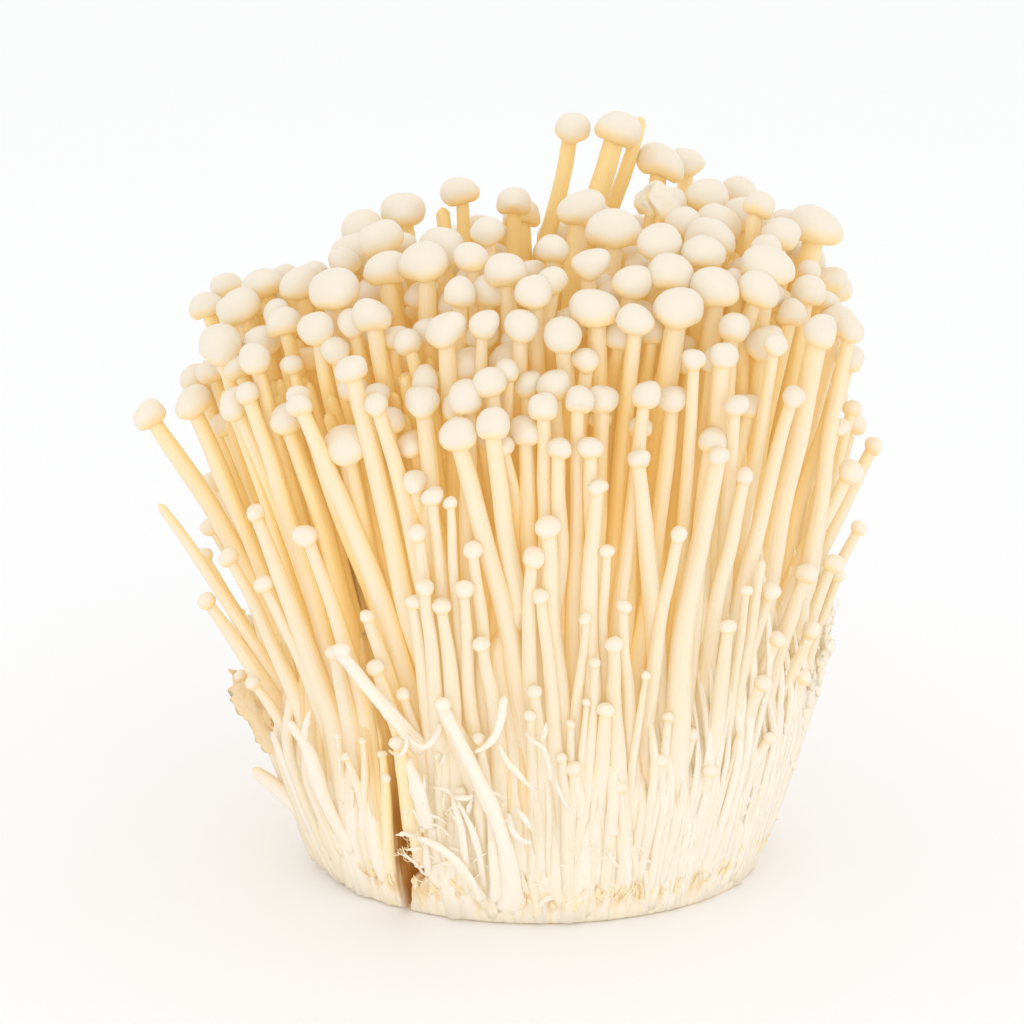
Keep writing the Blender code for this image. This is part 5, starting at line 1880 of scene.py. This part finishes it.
@dataclass
class Torn:
    """Torn strips, threads and a flap on the outside of one tuft, with frayed bits and crumbs."""

    tuft: str
    side: int
    table: list[tuple]
    fibres: int
    fringe: int
    crumbs: int
    strip: tuple[int, int] = (25, 10)
    flap: tuple[int, int] = (50, 24)
    bit: tuple[int, int] = (6, 6)
    clear: float = 1.2
    round_scale: float = 35.0

    def dress(self, skin: bpy.types.Material) -> None:
        """Builds all of them as one piece.

        Args:
            skin: Their finish.
        """
        surface = Surface()
        rng = np.random.default_rng(SEED + 5 * self.fibres)
        flaps = [row for row in self.table if row[-1] == "flap"]
        strips = [row for row in self.table if row[-1] != "flap"]
        self.add_strips(surface, strips + self.loose_fibres(rng), rng, self.strip)
        if flaps:
            self.add_strips(surface, flaps, rng, self.flap)
        self.add_strips(surface, self.fringe_bits(rng), rng, self.bit)
        if self.side > 0:
            self.add_hairs(surface, rng)
            self.add_crumbs(surface, rng)
        surface.piece(self.tuft + "_torn", skin, self.tuft)

    def loose_fibres(self, rng: np.random.Generator) -> list[tuple]:
        """Fine frayed fibres round the torn place: short curved lines that lean up to the left.

        Args:
            rng: Seeded draws.

        Returns:
            Rows like those of the tables.
        """
        rows = []
        for _ in range(self.fibres):
            near = rng.random() < 0.7
            x = rng.uniform(-20, -3) if near else rng.uniform(-20, 24)
            z = rng.uniform(5.5, 24) if near else rng.uniform(5.5, 14)
            long, turn, bend = rng.uniform(1.6, 5.5), rng.normal(1.9, 0.5), rng.normal(0, 0.9)
            line = [(x, z)]
            for part in range(3):
                way = turn + bend * part / 2
                x, z = x + long / 3 * math.cos(way), z + long / 3 * math.sin(way)
                line.append((x, z))
            rise = rng.uniform(0.9, 2.2)
            rows.append((rng.uniform(0.25, 0.75), 0.6, (-0.3, 0.6 * rise, rise), (1, 0.3), tuple(line)))
        return rows

    def fringe_bits(self, rng: np.random.Generator) -> list[tuple]:
        """Ragged bits that stand up all along the top of the cut band.

        Args:
            rng: Seeded draws.

        Returns:
            Rows like those of the tables, with a direction round the foot in place of x.
        """
        rows = []
        for _ in range(self.fringe):
            turn, long = rng.random() * TURN, rng.uniform(0.7, 2.6)
            z = 4.6 + 1.5 * math.sin(3 * turn) * math.sin(7 * turn + 2) + rng.normal(0, 0.9)
            lean = rng.normal(0, 0.012)
            line = ((turn, z), (turn + lean, z + 0.5 * long), (turn + 2 * lean, z + long))
            rise = rng.uniform(0.0, 0.45)
            rows.append((rng.uniform(0.3, 0.9), 0.6, (-0.5, rise, rise), (1, 0.4), line, "round"))
        return rows

    def add_strips(
        self, surface: Surface, rows: list[tuple], rng: np.random.Generator, shape: tuple[int, int]
    ) -> None:
        """Adds the strips: flat tubes whose sides fray by noise, most at both ends.

        A flap is turned with its broad side to the left, and folded by a sine of the place across it.

        Args:
            surface: What they are added to.
            rows: Their rows.
            rng: Seeded draws.
            shape: How many rings each strip has, and how many sides each ring has.
        """
        share, around = np.linspace(0.0, 1.0, shape[0]), even_turns(shape[1])
        laid = []
        for row in rows:
            parts = self.lay(row, share, len(laid) + 1)
            if row[-1] != "round" or (self.side * FORM.beyond(*parts[0].T)).min() >= self.clear:
                laid.append((row, parts))
        for row, (middle, *_) in laid:
            if isinstance(row[-1], float):
                self.add_ball(surface, middle[-1] + [0.0, 0.0, 0.2 * row[5]], 0.5 * row[5])
        middle, way, wide, thin = (np.array(part) for part in zip(*(parts for _, parts in laid)))
        wide, thin = wide[..., None], thin[..., None]
        white = np.array([{"round": 0.2, "flap": 0.0}.get(row[-1], 1.0) for row, _ in laid])
        flap = np.array([row[-1] == "flap" for row, _ in laid])[:, None]
        tangent = along(middle)
        across = np.cross(tangent, way)
        across /= np.linalg.norm(across, axis=-1, keepdims=True)
        twist = rng.normal(0, 0.35, (len(middle), 1)) + rng.normal(0, 0.7, (len(middle), 1)) * (share - 0.5)
        twist = np.where(flap, 1.25 + 0.3 * (share - 0.5), twist)[..., None]
        other = np.cross(across, tangent)
        across, other = (
            across * np.cos(twist) + other * np.sin(twist),
            other * np.cos(twist) - across * np.sin(twist),
        )
        flap, run = flap[..., None], share[:, None]
        numbers = np.arange(len(middle))[:, None, None]
        torn = 0.16 + 0.34 * smooth(np.abs(share - 0.5), 0.40, 0.5)[:, None] + 0.3 * flap
        fray = 1.0 + torn * value_noise(joined(around * 1.6, run * (9 + 7 * flap), numbers * 2.7), 9)
        folds = np.where(flap, 0.35 * np.sin(2.1 * wide * np.cos(around) + 3.0 * run), 0.0)
        points = middle[:, :, None] + (wide * np.cos(around) * fray)[..., None] * across[:, :, None]
        points = points + (thin * np.sin(around) * fray + folds)[..., None] * other[:, :, None]
        points[..., 2] = np.maximum(points[..., 2], 0.3)
        grain = joined(wide * np.cos(around) + numbers * 3.1, thin * np.sin(around), run * 20.0)
        low = white[:, None, None] + np.zeros(points.shape[:3])
        # Strips get half the painted shade; bits and flaps get a fixed amber tone of their own through the
        # shade mark.
        shade = np.maximum(0.5 * shade_of(points), 0.38 * (low < 0.9))
        stain = np.where(flap, 0.6, 0.0) * smooth(points[..., 2], 12.0, 26.0)
        low_pole = middle[:, 0] - 0.15 * tangent[:, 0]
        high_pole = middle[:, -1] + 0.25 * tangent[:, -1] * wide[:, -1]
        marks = {"shade": shade, "grain": grain, "low": low, "stain": stain}
        surface.add_tubes(points, low_pole, high_pole, marks)

    def lay(self, row: tuple, share: Array, number: int) -> tuple[Array, ...]:
        """Lays one strip on the outside of the fan.

        Its line is cut up evenly and rounded by averaging neighbours, its distance from the fan
        follows a parabola through three values, and its width swells from end to end with noise.

        Args:
            row: Its row.
            share: Shares of the length at the rings.
            number: Its number, from 1, which picks the noise.

        Returns:
            Middles, directions outwards, half widths and half thicknesses, one for each ring.
        """
        width, flat, (first, mid, last), ends, line = row[:5]
        line = np.array(line, float)
        scale = np.array([self.round_scale if row[-1] == "round" else 1.0, 1.0])
        steps = np.linalg.norm(np.diff(line * scale, axis=0), axis=1)
        far = np.concatenate([[0.0], np.cumsum(steps)])
        run = np.stack([np.interp(share * far[-1], far, line[:, axis]) for axis in (0, 1)], axis=-1)
        for _ in range(6):
            run[1:-1] += 0.5 * (0.5 * (run[:-2] + run[2:]) - run[1:-1])
        out = first * (1 - share) * (1 - 2 * share) + 4 * mid * share * (1 - share)
        out = out + last * share * (2 * share - 1)
        x, z = run.T
        wide, deep = (half + out for half in FORM.fan(z))
        centre = FORM.fan_middle(z)
        if row[-1] == "round":
            x, y = centre + wide * np.cos(run[:, 0]), deep * np.sin(run[:, 0])
        else:
            y = -deep * np.sqrt(np.clip(1 - ((x - centre) / wide) ** 2, 0.0005, None))
        way = joined((x - centre) / wide**2, y / deep**2, -0.004)
        swell = ends[0] + (1 - ends[0]) * smooth(share, 0, 0.4) + (ends[1] - 1) * smooth(share, 0.55, 1)
        rough = 1 + 0.16 * value_noise(joined(share * 7, 3.3 * number, 0.0), 3)
        closed = 0.5 * width * np.minimum(1.0, 0.45 + share * 14.0)
        thin = closed * flat * (0.4 + 0.6 * np.minimum(swell, 1.0)) / np.maximum(swell, 1.0) ** 0.6
        way = way / np.linalg.norm(way, axis=-1, keepdims=True)
        return joined(x, y, z), way, closed * swell * rough, thin

    @staticmethod
    def even_marks(points: Array, shade: float = 0.0, low: float = 1.0) -> dict[str, Array]:
        """Marks of small parts, which are the same all over; shade here sets their own amber tone."""
        flat = np.zeros(points.shape[:3])
        return {"shade": flat + shade, "grain": points, "low": flat + low, "stain": flat}

    def add_ball(self, surface: Surface, heart: Array, size: float) -> None:
        """Adds a round button cap: a ball, slightly flattened.

        Args:
            surface: What it is added to.
            heart: Its middle.
            size: Its radius.
        """
        flat = 0.86
        points = (heart + size * ball(1.35, 13, 16, flat))[None]
        poles = [heart[None] + [0.0, 0.0, end * flat * size] for end in (-1.0, 1.0)]
        surface.add_tubes(points, *poles, self.even_marks(points))

    def add_hairs(self, surface: Surface, rng: np.random.Generator) -> None:
        """Adds fine curled hairs in the torn hollow: thin tubes that wind in small loops.

        Args:
            surface: What they are added to.
            rng: Seeded draws.
        """
        count, radius, share = 6, 0.06, np.linspace(0.0, 1.0, 40)
        start = np.array(HOLLOW.place) + rng.uniform(-1, 1, (count, 1, 3)) * [1.4, 0.4, 2.4]
        wind = share * rng.uniform(9, 17, (count, 1)) + rng.random((count, 1)) * 6
        loop = rng.uniform(0.3, 0.6, (count, 1))
        x, y = loop * np.cos(wind) + 1.6 * share - 0.8, 0.6 * np.sin(0.7 * wind) + 0.3
        middle = start + joined(x, y, loop * np.sin(wind) + 1.2 * share)
        points = rings_along(middle, radius, even_turns(5))[0]
        surface.add_tubes(points, middle[:, 0], middle[:, -1], self.even_marks(points, 0.5, 0.0))

    def add_crumbs(self, surface: Surface, rng: np.random.Generator) -> None:
        """Adds crumbs of felt to the right of the foot: small balls roughened by noise.

        Args:
            surface: What they are added to.
            rng: Seeded draws.
        """
        z = 3.0 + 41.0 * rng.random(self.crumbs) ** 1.2
        turn = rng.normal(-0.05, 0.30, self.crumbs)
        size = 0.2 + 0.7 * rng.random(self.crumbs) ** 3
        wide, deep = (half - 0.35 * size for half in FORM.fan(z))
        heart = joined(FORM.fan_middle(z) + wide * np.cos(turn), deep * np.sin(turn), z)
        size = size[:, None, None, None] * [0.7, 0.7, 1.6]
        form = size * ball(1.2, 7, 9)
        points = heart[:, None, None] + form
        points = points + 0.9 * form * value_noise(points / 0.5, 33)[..., None]
        poles = [heart + size[:, 0, 0] * [0.0, 0.0, end] for end in (-1.0, 1.0)]
        surface.add_tubes(points, *poles, self.even_marks(points))


# ---------------------------------------------------------------------------------------------
# Studio
# ---------------------------------------------------------------------------------------------


@dataclass(frozen=True)
class Studio:
    """A pale floor, soft light from a wide key and fills, and the camera, in metres."""

    target: tuple[float, float, float] = (-0.0043, 0.0, 0.058)
    elevation: float = 17.0
    distance: float = 0.539
    lens: float = 120.0

    def set_up(self) -> None:
        """Makes floor, light and camera."""
        self.floor()
        self.light("key", (0.15, -0.9, 0.5), 0.7, 0.6)
        self.light("fill", (0.85, -0.45, 0.45), 0.9, 0.3)
        self.light("top", (0.05, 0.25, 1.1), 0.9, 0.15)
        self.light("low", (-0.1, -0.9, 0.06), 0.6, 0.75)
        world = bpy.data.worlds.new("studio")
        world.use_nodes = True
        background = world.node_tree.nodes["Background"]
        background.inputs["Color"].default_value = (1.0, 1.0, 1.0, 1.0)
        background.inputs["Strength"].default_value = 1.0
        bpy.context.scene.world = world
        bpy.context.scene.view_settings.view_transform = "Standard"
        self.camera()

    def floor(self) -> None:
        """A wide pale sheet that the cut face stands on."""
        shader = Shader("pale_floor", {"Roughness": 0.7, "Specular IOR Level": 0.1})
        tone = shader.noise(shader.place(), 3.0)
        shader.set("Base Color", shader.mix(tone, (0.955, 0.958, 0.965), (0.968, 0.971, 0.978)))
        mesh = bpy.data.meshes.new("floor")
        mesh.from_pydata([(-4, -4, 0), (4, -4, 0), (4, 4, 0), (-4, 4, 0)], [], [(0, 1, 2, 3)])
        mesh.materials.append(shader.material)
        made = bpy.data.objects.new("floor", mesh)
        bpy.context.scene.collection.objects.link(made)

    def light(self, name: str, place: tuple[float, float, float], size: float, power: float) -> None:
        """A square soft light that faces the bunch.

        Args:
            name: Its name.
            place: Where it hangs.
            size: Its side.
            power: Its power in watts.
        """
        lamp = bpy.data.lights.new(name, "AREA")
        lamp.energy, lamp.size = power, size
        made = bpy.data.objects.new(name, lamp)
        made.location = place
        made.rotation_euler = (Vector(place) - Vector(self.target)).to_track_quat("Z", "Y").to_euler()
        bpy.context.scene.collection.objects.link(made)

    def camera(self) -> None:
        """The camera, looking a little down on the front of the bunch."""
        lens = bpy.data.cameras.new("camera")
        lens.lens, lens.sensor_width = self.lens, 36.0
        made = bpy.data.objects.new("camera", lens)
        rise = math.radians(self.elevation)
        away = Vector((0.0, -math.cos(rise), math.sin(rise)))
        made.location = Vector(self.target) + self.distance * away
        made.rotation_euler = (-away).to_track_quat("-Z", "Y").to_euler()
        bpy.context.scene.collection.objects.link(made)
        bpy.context.scene.camera = made


def main() -> None:
    """Builds the bunch and its studio."""
    logging.basicConfig(level=logging.INFO, format="%(message)s")
    growth = Growth()
    rows = np.array(growth.rows)
    packed = Lines(rows[: growth.packed], SEED)
    lines = Lines(rows[growth.packed :], SEED + 1, held=packed)
    LOG.info("%d mushrooms, %d of them in the packed solids", len(rows), growth.packed)
    stem_skin, cap_skin = StemSkin().make("stem_skin"), CapSkin().make("cap_skin")
    foot_skin, heart_skin = FootSkin().make("foot_skin"), HeartSkin().make("heart_skin")
    for tuft, side in (("main_tuft", 1), ("left_tuft", -1)):
        Mushrooms(tuft, side, lines, growth.placed).dress(stem_skin, cap_skin)
    main_foot = Foot("main_tuft", 1, low=(5.0, 0.0), high=(2.0, 0.0, 78.0), columns=720)
    left_foot = Foot("left_tuft", -1, low=(-25.0, 1.0), high=(-32.0, -1.0, 66.0), columns=430)
    for foot in (main_foot, left_foot):
        foot.dress(foot_skin, heart_skin)
    Strands("main_tuft", 1, count=520).dress(stem_skin)
    Strands("left_tuft", -1, count=240).dress(stem_skin)
    Torn("main_tuft", 1, TORN_MAIN, fibres=46, fringe=560, crumbs=150).dress(stem_skin)
    Torn("left_tuft", -1, TORN_LEFT, fibres=0, fringe=200, crumbs=0).dress(stem_skin)
    Studio().set_up()


if __name__ == "__main__":
    main()
